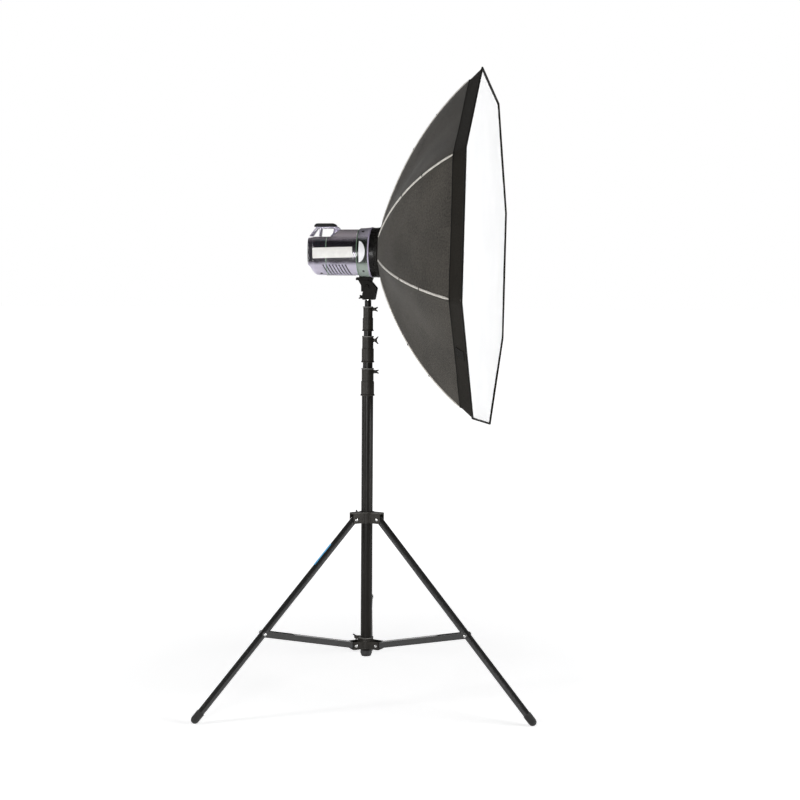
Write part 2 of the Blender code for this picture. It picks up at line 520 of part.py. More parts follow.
lock = empty("bayonet_lock_axis", HEAD, (-0.0060, 0, 0), (-62, 0, 0))
put("bayonet_lock", box((0.0120, 0.0100, 0.0060), (0, 0, 0.0742 + 0.0016 + 0.0030), 0.0010, 1), PLASTIC, lock)

# ---------------------------------------------------------------- octabox
OCTABOX = empty("octabox_axis", HEAD)


def rib(t, start=(REAR_A, REAR_R), end=(SEAM_A, SEAM_R), slopes=(REAR_SLOPE, SEAM_SLOPE)):
    """A sprung rod's line as (along, out): a cubic between two points with the slopes of its ends."""
    chord = math.hypot(end[0] - start[0], end[1] - start[1])
    d0, d1 = [(chord * math.cos(math.radians(s)), chord * math.sin(math.radians(s))) for s in slopes]
    h = (2 * t**3 - 3 * t**2 + 1, t**3 - 2 * t**2 + t, -2 * t**3 + 3 * t**2, t**3 - t**2)
    return tuple(h[0] * start[i] + h[1] * d0[i] + h[2] * end[i] + h[3] * d1[i] for i in (0, 1))


def inward(points, distance):
    """The same line, moved towards the inside of the dome by a distance across it."""
    out = []
    for i, (a, r) in enumerate(points):
        (a0, r0), (a1, r1) = points[max(i - 1, 0)], points[min(i + 1, len(points) - 1)]
        run = math.hypot(a1 - a0, r1 - r0)
        out.append((a + distance * (r1 - r0) / run, r - distance * (a1 - a0) / run))
    return out


skin = [rib(i / 10) for i in range(11)] + [(RIM_A, RIM_R)]
lining = inward(skin, FABRIC_T)
lining[-1] = (RIM_A, lining[-1][1])
shell_profile = [(r, a) for a, r in reversed(skin)] + [(r, a) for a, r in lining]
place_octagon = turn(90, "Y")


def octagon(mesh):
    """Turn an eight-sided solid made about Z so that it looks along +X with a corner at the first rod."""
    return moved(mesh, turn(-ROLL, "X"), turn(90, "Y"), turn(180, "Z"))


cover = turned(shell_profile, 8)
put("fabric_cover", octagon(cover), FABRIC, OCTABOX, smooth=12)
diffuser_r = lining[-1][1] - 0.0022
diffuser = [(0.0, RIM_A - 0.0007), (diffuser_r + 0.0008, RIM_A - 0.0007), (diffuser_r, RIM_A - 0.0022), (0.0, RIM_A - 0.0022)]
put("front_diffuser", octagon(turned(diffuser, 8, closed=False)), DIFFUSER, OCTABOX, smooth=12)
put("inner_diffuser", octagon(turned([(0.0, INNER_A + 0.0012), (INNER_R, INNER_A + 0.0012), (INNER_R, INNER_A), (0.0, INNER_A)], 8, closed=False)),
    DIFFUSER, OCTABOX, smooth=12)

# speed ring: turns on the bayonet ring and carries a forked lug for each rod
ring = turned([(0.0735, 0.0395), (0.0735, RING_REAR), (0.0590, RING_REAR), (0.0590, RING_FRONT), (0.0660, RING_FRONT), (0.0660, 0.0395)],
              36, axis="X")
ears, holes = [], []
for k in range(8):
    spin = turn(-(ROLL + 45 * k), "X")
    for flank in (-1, 1):
        ears.append(moved(box((0.0090, 0.0022, 0.0140), (ROD_PIVOT_A, flank * 0.0041, ROD_PIVOT_R - 0.0032)), spin))
    holes.append(moved(cylinder(0.0014, -0.009, 0.009, "Y", 8, (ROD_PIVOT_A, 0, ROD_PIVOT_R)), spin))
ring = boolean(ring, ears, "UNION")
put("speed_ring", boolean(ring, holes, "DIFFERENCE"), CAST, OCTABOX)
# one wire, bent into an eight-sided loop, is the hinge pin of all eight rods
corner_r = ROD_PIVOT_R / math.cos(math.radians(22.5))
wire = turned([(corner_r + 0.0010 * math.cos(math.radians(t)), 0.0010 * math.sin(math.radians(t))) for t in range(315, -45, -45)], 8)
put("hinge_wire", moved(wire, shift(ROD_PIVOT_A, 0, 0), turn(-ROLL - 22.5, "X"), turn(90, "Y")), STEEL, OCTABOX)

# A rod's own frame: its pivot at the origin, +X along the optical axis, +Z out from it.
inner = inward([rib(i / 10) for i in range(11)] + [(RIM_A, RIM_R)], FABRIC_T + ROD_R + 0.0008)
rod_line = [(0.0, 0.0, 0.0)]
for i, (a, r) in enumerate(inner[1:-1], 1):
    blend = 1 - smoothstep(1 - i / 3)
    rod_line.append((a - ROD_PIVOT_A + 0.0030 * (1 - blend), 0.0, r - ROD_PIVOT_R))
tip_a, tip_r = inner[-1]
last_a, last_r = inner[-2]
part = (RIM_A - 0.0060 - last_a) / (tip_a - last_a)
rod_line.append((last_a + (tip_a - last_a) * part - ROD_PIVOT_A, 0.0, last_r + (tip_r - last_r) * part - ROD_PIVOT_R))
rod = boolean(rod_mesh(rod_line, ROD_R, 1), [cylinder(0.0036, -0.0026, 0.0026, "Y", 10)], "UNION")
rod = boolean(rod, [cylinder(0.0014, -0.01, 0.01, "Y", 8)], "DIFFERENCE")
for k in range(8):
    angle = ROLL + 45 * k
    out = math.radians(angle)
    hinge = empty(f"rod_{k + 1}_axis", OCTABOX,
                  (ROD_PIVOT_A, ROD_PIVOT_R * math.sin(out), ROD_PIVOT_R * math.cos(out)), (-angle, 0, 0))
    put(f"rod_{k + 1}", rod, STEEL, hinge)

bpy.context.view_layer.update()
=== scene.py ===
"""The looks of the octabox light: materials, cloth, the flash head's clear casing, lights and camera."""
import json
import math

import bmesh
import bpy
import numpy as np
from mathutils import Matrix, Vector, noise

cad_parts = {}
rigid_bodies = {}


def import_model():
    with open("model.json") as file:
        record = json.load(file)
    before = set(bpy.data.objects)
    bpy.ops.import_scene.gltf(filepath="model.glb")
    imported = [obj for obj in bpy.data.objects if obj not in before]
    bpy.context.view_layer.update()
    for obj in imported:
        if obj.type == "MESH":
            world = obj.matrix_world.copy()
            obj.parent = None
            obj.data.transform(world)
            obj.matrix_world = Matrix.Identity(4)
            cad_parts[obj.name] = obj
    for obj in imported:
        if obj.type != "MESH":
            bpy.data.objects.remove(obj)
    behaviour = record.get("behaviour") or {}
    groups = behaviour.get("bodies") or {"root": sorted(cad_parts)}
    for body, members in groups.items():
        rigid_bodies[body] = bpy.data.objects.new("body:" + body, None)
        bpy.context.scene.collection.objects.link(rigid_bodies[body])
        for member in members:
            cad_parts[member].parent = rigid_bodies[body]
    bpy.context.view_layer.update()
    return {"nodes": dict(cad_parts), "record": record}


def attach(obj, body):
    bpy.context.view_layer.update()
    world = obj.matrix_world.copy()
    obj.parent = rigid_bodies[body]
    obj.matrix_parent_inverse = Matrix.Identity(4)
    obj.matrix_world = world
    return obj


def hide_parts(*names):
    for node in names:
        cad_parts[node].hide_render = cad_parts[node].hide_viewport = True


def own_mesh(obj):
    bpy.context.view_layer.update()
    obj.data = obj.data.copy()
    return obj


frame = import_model()
RECORD = frame["record"]
NODES = frame["nodes"]
JOINTS = {j["name"]: j for j in RECORD["behaviour"]["joints"]}
RNG = np.random.default_rng(7)

# ---------------------------------------------------------------- the head's own frame, from the joints
EX = Vector(JOINTS["octabox_turn"]["axis"]).normalized()
EY = Vector((-EX.y, EX.x, 0.0))
EZ = Vector((0.0, 0.0, 1.0))
AXIS_Z = JOINTS["octabox_turn"]["pos_m"][2]
TILT_Z = JOINTS["head_tilt"]["pos_m"][2]
HEAD = Matrix((
    (EX.x, EY.x, 0, 0), (EX.y, EY.y, 0, 0), (0, 0, 1, AXIS_Z), (0, 0, 0, 1)))
ROLL = -15.0
ROD_ANGLES = [ROLL + 45 * k for k in range(8)]


def at(a, y=0.0, z=0.0):
    """A point given along the optical axis, across it and above it."""
    return HEAD @ Vector((a, y, z))


# ---------------------------------------------------------------- material tools
class Mat:
    """A Principled material with small helpers for its node tree."""

    def __init__(self, name, **constants):
        self.mat = bpy.data.materials.new(name)
        self.mat.use_nodes = True
        self.tree = self.mat.node_tree
        self.shader = self.tree.nodes["Principled BSDF"]
        for key, value in constants.items():
            self.set(key.replace("_", " "), value)

    def set(self, key, value):
        names = {"color": "Base Color", "rough": "Roughness", "metal": "Metallic", "coat": "Coat Weight", "coatrough": "Coat Roughness",
                 "sheen": "Sheen Weight", "sheenrough": "Sheen Roughness", "ior": "IOR", "transmission": "Transmission Weight",
                 "spec": "Specular IOR Level", "aniso": "Anisotropic"}
        socket = self.shader.inputs[names.get(key, key)]
        socket.default_value = (*value, 1.0) if hasattr(value, "__len__") and len(value) == 3 and socket.type == "RGBA" else value

    def node(self, kind, **props):
        n = self.tree.nodes.new(kind)
        for key, value in props.items():
            if key.startswith("i_"):
                n.inputs[key[2:].replace("_", " ")].default_value = value
            else:
                setattr(n, key, value)
        return n

    def link(self, a, b):
        self.tree.links.new(a, b)
        return b

    def coords(self, kind="Object"):
        return self.node("ShaderNodeTexCoord").outputs[kind]

    def cloth(self):
        return self.node("ShaderNodeAttribute", attribute_type="GEOMETRY", attribute_name="cloth").outputs["Vector"]

    def stretch(self, vector, scale, turn=(0, 0, 0)):
        m = self.node("ShaderNodeMapping")
        m.inputs["Scale"].default_value = scale
        m.inputs["Rotation"].default_value = turn
        self.link(vector, m.inputs["Vector"])
        return m.outputs["Vector"]

    def noise(self, vector, scale, detail=3.0, rough=0.55, distort=0.0):
        n = self.node("ShaderNodeTexNoise")
        n.inputs["Scale"].default_value = scale
        n.inputs["Detail"].default_value = detail
        n.inputs["Roughness"].default_value = rough
        n.inputs["Distortion"].default_value = distort
        self.link(vector, n.inputs["Vector"])
        return n.outputs["Fac"]

    def voronoi(self, vector, scale, feature="F1"):
        n = self.node("ShaderNodeTexVoronoi", feature=feature)
        n.inputs["Scale"].default_value = scale
        self.link(vector, n.inputs["Vector"])
        return n.outputs["Distance"]

    def ramp(self, fac, stops):
        r = self.node("ShaderNodeValToRGB")
        while len(r.color_ramp.elements) < len(stops):
            r.color_ramp.elements.new(0.5)
        for element, (pos, col) in zip(r.color_ramp.elements, stops):
            element.position = pos
            element.color = (*col, 1.0) if hasattr(col, "__len__") else (col, col, col, 1.0)
        self.link(fac, r.inputs["Fac"])
        return r.outputs["Color"]

    def math(self, op, a, b=None, c=None):
        m = self.node("ShaderNodeMath", operation=op)
        for i, v in enumerate((a, b, c)):
            if v is None:
                continue
            if isinstance(v, (int, float)):
                m.inputs[i].default_value = v
            else:
                self.link(v, m.inputs[i])
        return m.outputs[0]

    def mix(self, fac, a, b, blend="MIX"):
        m = self.node("ShaderNodeMix", data_type="RGBA", blend_type=blend)
        for socket, v in ((m.inputs[0], fac), (m.inputs[6], a), (m.inputs[7], b)):
            if isinstance(v, (int, float)):
                socket.default_value = v
            elif hasattr(v, "__len__"):
                socket.default_value = (*v, 1.0)
            else:
                self.link(v, socket)
        return m.outputs[2]

    def bump(self, height, distance, strength=1.0, before=None):
        b = self.node("ShaderNodeBump")
        b.inputs["Distance"].default_value = distance
        b.inputs["Strength"].default_value = strength
        self.link(height, b.inputs["Height"])
        if before is not None:
            self.link(before, b.inputs["Normal"])
        return b.outputs["Normal"]

    def to(self, socket, value):
        names = {"color": "Base Color", "rough": "Roughness", "metal": "Metallic", "normal": "Normal"}
        self.link(value, self.shader.inputs[names.get(socket, socket)])

    def worn(self, radius=0.0012):
        """Near 1 along convex edges: how far the rounded normal turns from the true one."""
        bevel = self.node("ShaderNodeBevel", samples=4)
        bevel.inputs["Radius"].default_value = radius
        geo = self.node("ShaderNodeNewGeometry")
        dot = self.node("ShaderNodeVectorMath", operation="DOT_PRODUCT")
        self.link(bevel.outputs["Normal"], dot.inputs[0])
        self.link(geo.outputs["Normal"], dot.inputs[1])
        return self.math("SUBTRACT", 1.0, dot.outputs["Value"])


def tube_paint():
    m = Mat("satin_black_paint", coat=0.035, coatrough=0.14, spec=0.14)
    p = m.coords()
    mottle = m.noise(p, 9.0, 4.0)
    fine = m.noise(p, 420.0, 2.0)
    runs = m.noise(m.stretch(p, (160, 160, 6)), 1.0, 3.0)
    base = m.ramp(mottle, [(0.30, (0.0062, 0.0055, 0.0046)), (0.70, (0.0122, 0.0108, 0.0090))])
    rub = m.math("MULTIPLY", m.ramp(runs, [(0.62, 0.0), (0.76, 1.0)]), 0.16)
    m.to("color", m.mix(rub, base, (0.040, 0.037, 0.032)))
    m.to("rough", m.ramp(m.math("ADD", m.math("MULTIPLY", mottle, 0.7), m.math("MULTIPLY", runs, 0.3)), [(0.30, 0.26), (0.72, 0.42)]))
    m.to("normal", m.bump(fine, 0.00008, 0.35))
    return m.mat


def leg_paint():
    m = Mat("gloss_black_paint", coat=0.8, coatrough=0.05, spec=0.5)
    p = m.coords()
    mottle = m.noise(p, 14.0, 4.0)
    scuff = m.noise(m.stretch(p, (40, 40, 25)), 3.0, 6.0, 0.7)
    base = m.ramp(mottle, [(0.30, (0.0075, 0.0074, 0.0070)), (0.70, (0.0125, 0.0120, 0.0110))])
    m.to("color", m.mix(m.math("MULTIPLY", m.ramp(scuff, [(0.62, 0.0), (0.72, 1.0)]), 0.30), base, (0.05, 0.048, 0.043)))
    m.to("rough", m.ramp(scuff, [(0.35, 0.16), (0.75, 0.34)]))
    m.to("normal", m.bump(m.noise(p, 300.0, 2.0), 0.00005, 0.3))
    return m.mat


def casting(name="enamelled_casting", low=(0.0140, 0.0122, 0.0098), high=(0.0250, 0.0220, 0.0180), worn=(0.15, 0.142, 0.128), spec=0.26):
    m = Mat(name, spec=spec, coat=0.012, coatrough=0.25)
    p = m.coords()
    grain = m.noise(p, 950.0, 3.0, 0.6)
    mottle = m.noise(p, 38.0, 4.0)
    base = m.ramp(m.math("ADD", m.math("MULTIPLY", mottle, 0.6), m.math("MULTIPLY", grain, 0.4)), [(0.34, low), (0.66, high)])
    edge = m.math("MULTIPLY", m.ramp(m.worn(0.0011), [(0.04, 0.0), (0.22, 1.0)]), m.ramp(m.noise(p, 120.0, 4.0), [(0.30, 0.15), (0.60, 0.85)]))
    m.to("color", m.mix(edge, base, worn))
    m.to("rough", m.mix(edge, m.ramp(grain, [(0.3, 0.40), (0.7, 0.60)]), (0.30, 0.30, 0.30)))
    m.to("normal", m.bump(grain, 0.00022, 0.55))
    return m.mat


def steel(name="bright_steel", low=(0.42, 0.42, 0.41), high=(0.66, 0.66, 0.65), rough=(0.16, 0.34), along=(30, 30, 400)):
    m = Mat(name, metal=1.0)
    p = m.coords()
    lines = m.noise(m.stretch(p, along), 1.0, 4.0, 0.6)
    blotch = m.noise(p, 60.0, 3.0)
    m.to("color", m.ramp(m.math("ADD", m.math("MULTIPLY", lines, 0.6), m.math("MULTIPLY", blotch, 0.4)), [(0.3, low), (0.7, high)]))
    m.to("rough", m.ramp(lines, [(0.3, rough[0]), (0.7, rough[1])]))
    m.to("normal", m.bump(lines, 0.00005, 0.5))
    return m.mat


def rubber(name="matt_rubber", low=(0.010, 0.010, 0.0098), high=(0.024, 0.0235, 0.0225)):
    m = Mat(name, spec=0.35, sheen=0.25, sheenrough=0.5)
    p = m.coords()
    dust = m.noise(p, 55.0, 5.0, 0.65)
    pores = m.voronoi(p, 1500.0)
    m.to("color", m.ramp(dust, [(0.32, low), (0.72, high)]))
    m.to("rough", m.ramp(dust, [(0.3, 0.68), (0.7, 0.88)]))
    m.to("normal", m.bump(pores, 0.00012, 0.45))
    return m.mat


def plastic(name="grained_plastic", low=(0.0085, 0.0085, 0.0088), high=(0.0160, 0.0158, 0.0160), rough=(0.34, 0.52), scale=1400.0, spec=0.5):
    m = Mat(name, spec=spec)
    p = m.coords()
    cells = m.voronoi(p, scale)
    mottle = m.noise(p, 70.0, 3.0)
    edge = m.ramp(m.worn(0.0007), [(0.05, 0.0), (0.30, 0.5)])
    m.to("color", m.mix(edge, m.ramp(mottle, [(0.3, low), (0.7, high)]), (0.055, 0.055, 0.056)))
    m.to("rough", m.ramp(mottle, [(0.3, rough[0]), (0.7, rough[1])]))
    m.to("normal", m.bump(cells, 0.00010, 0.5))
    return m.mat


def clear_shell(name="violet_polycarbonate", tint_low=(0.60, 0.54, 0.72), tint_high=(0.86, 0.82, 0.93), rough=(0.06, 0.20), clear=0.92):
    m = Mat(name, transmission=clear, ior=1.45, spec=0.5, coat=0.0)
    p = m.coords()
    cloud = m.noise(p, 26.0, 4.0, 0.6)
    haze = m.noise(p, 240.0, 3.0, 0.6)
    m.to("color", m.ramp(cloud, [(0.30, tint_low), (0.70, tint_high)]))
    m.to("rough", m.ramp(m.math("ADD", m.math("MULTIPLY", cloud, 0.5), m.math("MULTIPLY", haze, 0.5)), [(0.35, rough[0]), (0.65, rough[1])]))
    m.to("normal", m.bump(haze, 0.00006, 0.3))
    return m.mat


def woven(name, low, high, thread=0.0011, grain=520.0, contrast=(0.36, 0.64), sheen=0.25, rough=(0.62, 0.86), patch=7.0, bump=0.00030, spec=0.35):
    """Plain-woven cloth: threads over and under on the piece's own cloth coordinates, slubs, and fading in patches."""
    m = Mat(name, sheen=sheen, sheenrough=0.45, spec=spec)
    uv = m.cloth()
    sep = m.node("ShaderNodeSeparateXYZ")
    m.link(uv, sep.inputs[0])
    k = math.pi / thread
    warp = m.math("SINE", m.math("MULTIPLY", sep.outputs["X"], k))
    weft = m.math("SINE", m.math("MULTIPLY", sep.outputs["Y"], k))
    over = m.math("MULTIPLY", warp, weft)
    speck = m.noise(uv, grain, 4.0, 0.75)
    slub = m.noise(m.stretch(uv, (300, 22, 1)), 1.0, 3.0, 0.6)
    slub2 = m.noise(m.stretch(uv, (22, 300, 1)), 1.0, 3.0, 0.6)
    knobs = m.noise(uv, 190.0, 2.0, 0.8)
    fade = m.noise(uv, patch, 3.0, 0.5)
    fac = m.math("ADD", m.math("MULTIPLY", speck, 0.30), m.math("MULTIPLY", m.math("ADD", slub, slub2), 0.07))
    fac = m.math("ADD", fac, m.math("MULTIPLY", knobs, 0.38))
    fac = m.math("ADD", fac, m.math("MULTIPLY", fade, 0.18))
    fac = m.math("ADD", fac, m.math("MULTIPLY", over, 0.035))
    m.to("color", m.ramp(fac, [(contrast[0], low), (contrast[1], high)]))
    m.to("rough", m.ramp(speck, [(0.3, rough[0]), (0.7, rough[1])]))
    height = m.math("ADD", m.math("MULTIPLY", over, 0.5), m.math("MULTIPLY_ADD", knobs, 1.6, m.math("MULTIPLY", speck, 0.8)))
    m.to("normal", m.bump(height, bump, 0.6))
    return m.mat


def lining():
    m = Mat("silver_lining", metal=0.75)
    uv = m.cloth()
    crease_and_shade = m.noise(uv, 45.0, 5.0, 0.6, 0.6)
    fine = m.noise(uv, 900.0, 2.0)
    # the colour darkens in the crease hollows: painted shade on top of the crease bump
    m.to("color", m.ramp(crease_and_shade, [(0.3, (0.50, 0.50, 0.50)), (0.7, (0.72, 0.72, 0.71))]))
    m.to("rough", m.ramp(crease_and_shade, [(0.3, 0.28), (0.7, 0.50)]))
    m.to("normal", m.bump(m.math("ADD", crease_and_shade, m.math("MULTIPLY", fine, 0.15)), 0.0012, 0.35))
    return m.mat


def piping_cloth():
    m = Mat("reflective_piping", sheen=0.5, sheenrough=0.3, spec=0.5)
    uv = m.cloth()
    sep = m.node("ShaderNodeSeparateXYZ")
    m.link(uv, sep.inputs[0])
    rib = m.math("SINE", m.math("MULTIPLY", m.math("ADD", sep.outputs["Y"], m.math("MULTIPLY", sep.outputs["X"], 0.6)), math.pi / 0.0007))
    soil = m.noise(uv, 60.0, 4.0, 0.65)
    m.to("color", m.ramp(m.math("ADD", m.math("MULTIPLY", soil, 0.8), m.math("MULTIPLY", rib, 0.06)), [(0.24, (0.44, 0.415, 0.375)), (0.60, (0.76, 0.73, 0.67))]))
    m.to("rough", m.ramp(soil, [(0.3, 0.40), (0.7, 0.60)]))
    m.to("normal", m.bump(rib, 0.00018, 0.5))
    return m.mat


def diffusion_cloth(name="diffusion_cloth"):
    m = Mat(name, sheen=0.15, sheenrough=0.5, spec=0.25)
    uv = m.cloth()
    sep = m.node("ShaderNodeSeparateXYZ")
    m.link(uv, sep.inputs[0])
    k = math.pi / 0.0006
    over = m.math("MULTIPLY", m.math("SINE", m.math("MULTIPLY", sep.outputs["X"], k)), m.math("SINE", m.math("MULTIPLY", sep.outputs["Y"], k)))
    fade = m.noise(uv, 5.0, 3.0)
    fine = m.noise(uv, 700.0, 3.0)
    m.to("color", m.ramp(m.math("ADD", m.math("MULTIPLY", fade, 0.7), m.math("MULTIPLY", fine, 0.3)), [(0.3, (0.86, 0.865, 0.87)), (0.7, (0.93, 0.93, 0.93))]))
    m.to("rough", m.ramp(fine, [(0.3, 0.70), (0.7, 0.86)]))
    m.to("normal", m.bump(m.math("ADD", over, fine), 0.00012, 0.4))
    return m.mat


def paper(name, low, high):
    m = Mat(name, spec=0.35, coat=0.15, coatrough=0.3)
    p = m.coords()
    fibre = m.noise(p, 900.0, 5.0, 0.7)
    smudge = m.noise(p, 45.0, 4.0, 0.6)
    m.to("color", m.ramp(m.math("ADD", m.math("MULTIPLY", fibre, 0.35), m.math("MULTIPLY", smudge, 0.65)), [(0.3, low), (0.62, high)]))
    m.to("rough", m.ramp(fibre, [(0.3, 0.45), (0.7, 0.65)]))
    m.to("normal", m.bump(fibre, 0.00005, 0.4))
    return m.mat


def board():
    m = Mat("circuit_board", spec=0.5)
    p = m.coords()
    v = m.node("ShaderNodeTexBrick")
    v.inputs["Scale"].default_value = 160.0
    v.inputs["Color1"].default_value = (0.012, 0.170, 0.130, 1)
    v.inputs["Color2"].default_value = (0.020, 0.240, 0.180, 1)
    v.inputs["Mortar"].default_value = (0.10, 0.24, 0.14, 1)
    v.inputs["Mortar Size"].default_value = 0.03
    m.link(p, v.inputs["Vector"])
    m.to("color", m.mix(m.ramp(m.noise(p, 300.0, 2.0), [(0.58, 0.0), (0.62, 1.0)]), v.outputs["Color"], (0.42, 0.40, 0.36)))
    m.to("rough", m.ramp(m.noise(p, 90.0, 3.0), [(0.3, 0.30), (0.7, 0.5)]))
    return m.mat


def frosted_glass(name, tint, rough=(0.18, 0.34)):
    m = Mat(name, transmission=0.75, ior=1.47)
    p = m.coords()
    cloud = m.noise(p, 120.0, 3.0)
    m.to("color", m.ramp(cloud, [(0.3, tuple(c * 0.92 for c in tint)), (0.7, tint)]))
    m.to("rough", m.ramp(cloud, [(0.3, rough[0]), (0.7, rough[1])]))
    return m.mat


def zoned_shell(name, low, mid, high, opaque=(0.42, 0.90, 0.80), rough=(0.42, 0.09, 0.16), edges=(0.26, 0.34, 0.68, 0.80)):
    """Clear violet moulding, frosted under the waist and darker at the waist. Its top zone is painted lighter as a
    painted reflection, with pale streaks there as painted highlights: its zones follow the height in the head's own
    frame.
    """
    m = Mat(name, ior=1.45, spec=0.34)
    p = m.cloth()
    sep = m.node("ShaderNodeSeparateXYZ")
    m.link(p, sep.inputs[0])
    height = m.math("MULTIPLY_ADD", sep.outputs["Z"], 6.25, 0.5)
    cloud = m.noise(p, 30.0, 4.0, 0.6)
    haze = m.noise(p, 260.0, 3.0, 0.6)
    flow = m.noise(m.stretch(p, (14, 90, 90)), 1.0, 4.0, 0.6)
    wavy = m.math("ADD", height, m.math("MULTIPLY_ADD", cloud, 0.05, -0.025))
    # the top zone's lighter colour is a painted reflection
    zone_tone_with_reflection = m.ramp(wavy, [(edges[0], low), (edges[1], mid), (edges[2], mid), (edges[3], high)])
    # pale streaks along the axis in the upper zone: painted highlights
    upper = m.ramp(height, [(0.70, 0.06), (0.82, 1.0)])
    painted_highlight_streak = m.math("MULTIPLY", m.math("MULTIPLY", m.ramp(flow, [(0.46, 0.0), (0.66, 1.0)]), 0.45), upper)
    m.to("color", m.mix(painted_highlight_streak, zone_tone_with_reflection, (0.86, 0.83, 0.88)))
    m.link(m.ramp(wavy, [(edges[0], opaque[0]), (edges[1], opaque[1]), (edges[2], opaque[1]), (edges[3], opaque[2])]), m.shader.inputs["Transmission Weight"])
    base_rough = m.ramp(wavy, [(edges[0], rough[0]), (edges[1], rough[1]), (edges[2], rough[1]), (edges[3], rough[2])])
    m.to("rough", m.mix(m.math("MULTIPLY", haze, 0.25), base_rough, (0.5, 0.5, 0.5)))
    m.to("normal", m.bump(m.math("ADD", haze, m.math("MULTIPLY", flow, 0.6)), 0.00012, 0.4))
    return m.mat


def copper():
    m = Mat("copper_winding", metal=1.0)
    p = m.cloth()
    lines = m.noise(m.stretch(p, (900, 30, 30)), 1.0, 3.0)
    m.to("color", m.ramp(lines, [(0.3, (0.26, 0.075, 0.040)), (0.7, (0.62, 0.22, 0.12))]))
    m.to("rough", m.ramp(lines, [(0.3, 0.22), (0.7, 0.42)]))
    m.to("normal", m.bump(lines, 0.0002, 0.6))
    return m.mat


TUBE, LEG, CAST = tube_paint(), leg_paint(), casting()
# collar tops and clamp top rims are painted a lighter grey: a painted highlight where light falls on the top faces
TOP_HIGHLIGHT_CAST = casting("top_plate_painted_highlight", (0.110, 0.107, 0.100), (0.190, 0.185, 0.175), (0.40, 0.39, 0.37))
STEEL, RUBBER, PLASTIC = steel(), rubber(), plastic()
RIVET = steel("zinc_rivet", (0.55, 0.55, 0.54), (0.80, 0.80, 0.79), (0.14, 0.28), (200, 200, 200))
STRIP = paper("sky_blue_strip", (0.075, 0.40, 0.80), (0.15, 0.54, 0.92))
SPRING = steel("spring_steel", (0.16, 0.16, 0.165), (0.30, 0.30, 0.31), (0.28, 0.45), (300, 300, 30))
SHELL = clear_shell()
GRIP = rubber("grip_rubber", (0.008, 0.008, 0.0082), (0.018, 0.018, 0.018))
COVER = woven("charcoal_cover_cloth", (0.0085, 0.0076, 0.0062), (0.0880, 0.0795, 0.0670), contrast=(0.37, 0.62), spec=0.18, sheen=0.12)
LIP = woven("black_lip_cloth", (0.0050, 0.0042, 0.0030), (0.0200, 0.0172, 0.0128), thread=0.0008, grain=380.0, sheen=0.04, patch=5.0, contrast=(0.30, 0.72), spec=0.14)
HEM = woven("black_hem_binding", (0.0036, 0.0033, 0.0028), (0.0130, 0.0118, 0.0098), thread=0.0006, grain=700.0, sheen=0.04, spec=0.14)
PIPING, LINING = piping_cloth(), lining()
DIFFUSER, INNER_CLOTH = diffusion_cloth(), diffusion_cloth("inner_diffusion_cloth")
LABEL = paper("blank_white_label", (0.74, 0.73, 0.70), (0.90, 0.89, 0.86))
MOON = paper("white_half_disc", (0.84, 0.84, 0.86), (0.95, 0.95, 0.97))
BOARD = board()
FLASH_GLASS = frosted_glass("frosted_tube_glass", (0.90, 0.89, 0.85))
LAMP_GLASS = frosted_glass("opal_lamp_glass", (0.92, 0.90, 0.84), (0.35, 0.5))
CASING = zoned_shell("violet_casing", (0.72, 0.675, 0.80), (0.22, 0.19, 0.26), (0.88, 0.81, 0.86), (0.36, 0.97, 0.66))
COLLAR_CLEAR = zoned_shell("violet_collar", (0.52, 0.60, 0.54), (0.12, 0.16, 0.13), (0.62, 0.58, 0.68), (0.46, 0.97, 0.50), (0.35, 0.10, 0.25), (0.26, 0.34, 0.70, 0.80))
HANDLE_CLEAR = clear_shell("violet_handle", (0.58, 0.52, 0.72), (0.80, 0.76, 0.90), (0.08, 0.22))
VIOLET_EDGE = clear_shell("violet_moulded_edge", (0.62, 0.54, 0.76), (0.80, 0.74, 0.90), (0.12, 0.26), 0.40)
SEAM_GREEN = clear_shell("green_edge_glow", (0.28, 0.50, 0.32), (0.50, 0.72, 0.52), (0.14, 0.28), 0.30)
# pale pinkish plastic for the rods set under the roof as painted highlights
HIGHLIGHT_ROD_PLASTIC = plastic("pale_rod_painted_highlight", (0.46, 0.38, 0.42), (0.62, 0.54, 0.58), (0.20, 0.34), 900.0)
BRACKET = casting("bracket_casting", (0.0036, 0.0032, 0.0025), (0.0084, 0.0075, 0.0060), (0.0165, 0.0150, 0.0122), 0.06)
OPAL = paper("opal_lamp_plate", (0.62, 0.61, 0.58), (0.80, 0.79, 0.76))
LENS = frosted_glass("amber_lens", (0.95, 0.45, 0.10), (0.08, 0.16))
DARK_LINER = plastic("black_chassis_plastic", (0.0045, 0.0044, 0.0048), (0.0105, 0.0100, 0.0108), (0.30, 0.46), 1100.0)
RIM_PLASTIC = plastic("charcoal_panel_trim", (0.014, 0.014, 0.015), (0.026, 0.026, 0.027), (0.32, 0.48), 1300.0)
GLOSS_RING = plastic("gloss_ring_plastic", (0.0050, 0.0048, 0.0044), (0.0110, 0.0104, 0.0094), (0.20, 0.34), 900.0, 0.20)
COMPONENT = plastic("component_plastic", (0.10, 0.098, 0.090), (0.26, 0.25, 0.23), (0.30, 0.50), 1200.0)
CELL_SLEEVE = plastic("capacitor_sleeve", (0.100, 0.085, 0.110), (0.170, 0.150, 0.180), (0.20, 0.36), 800.0)
DARK_SCREW = steel("blackened_screw", (0.030, 0.029, 0.030), (0.070, 0.068, 0.068), (0.28, 0.46), (500, 500, 500))
COPPER = copper()

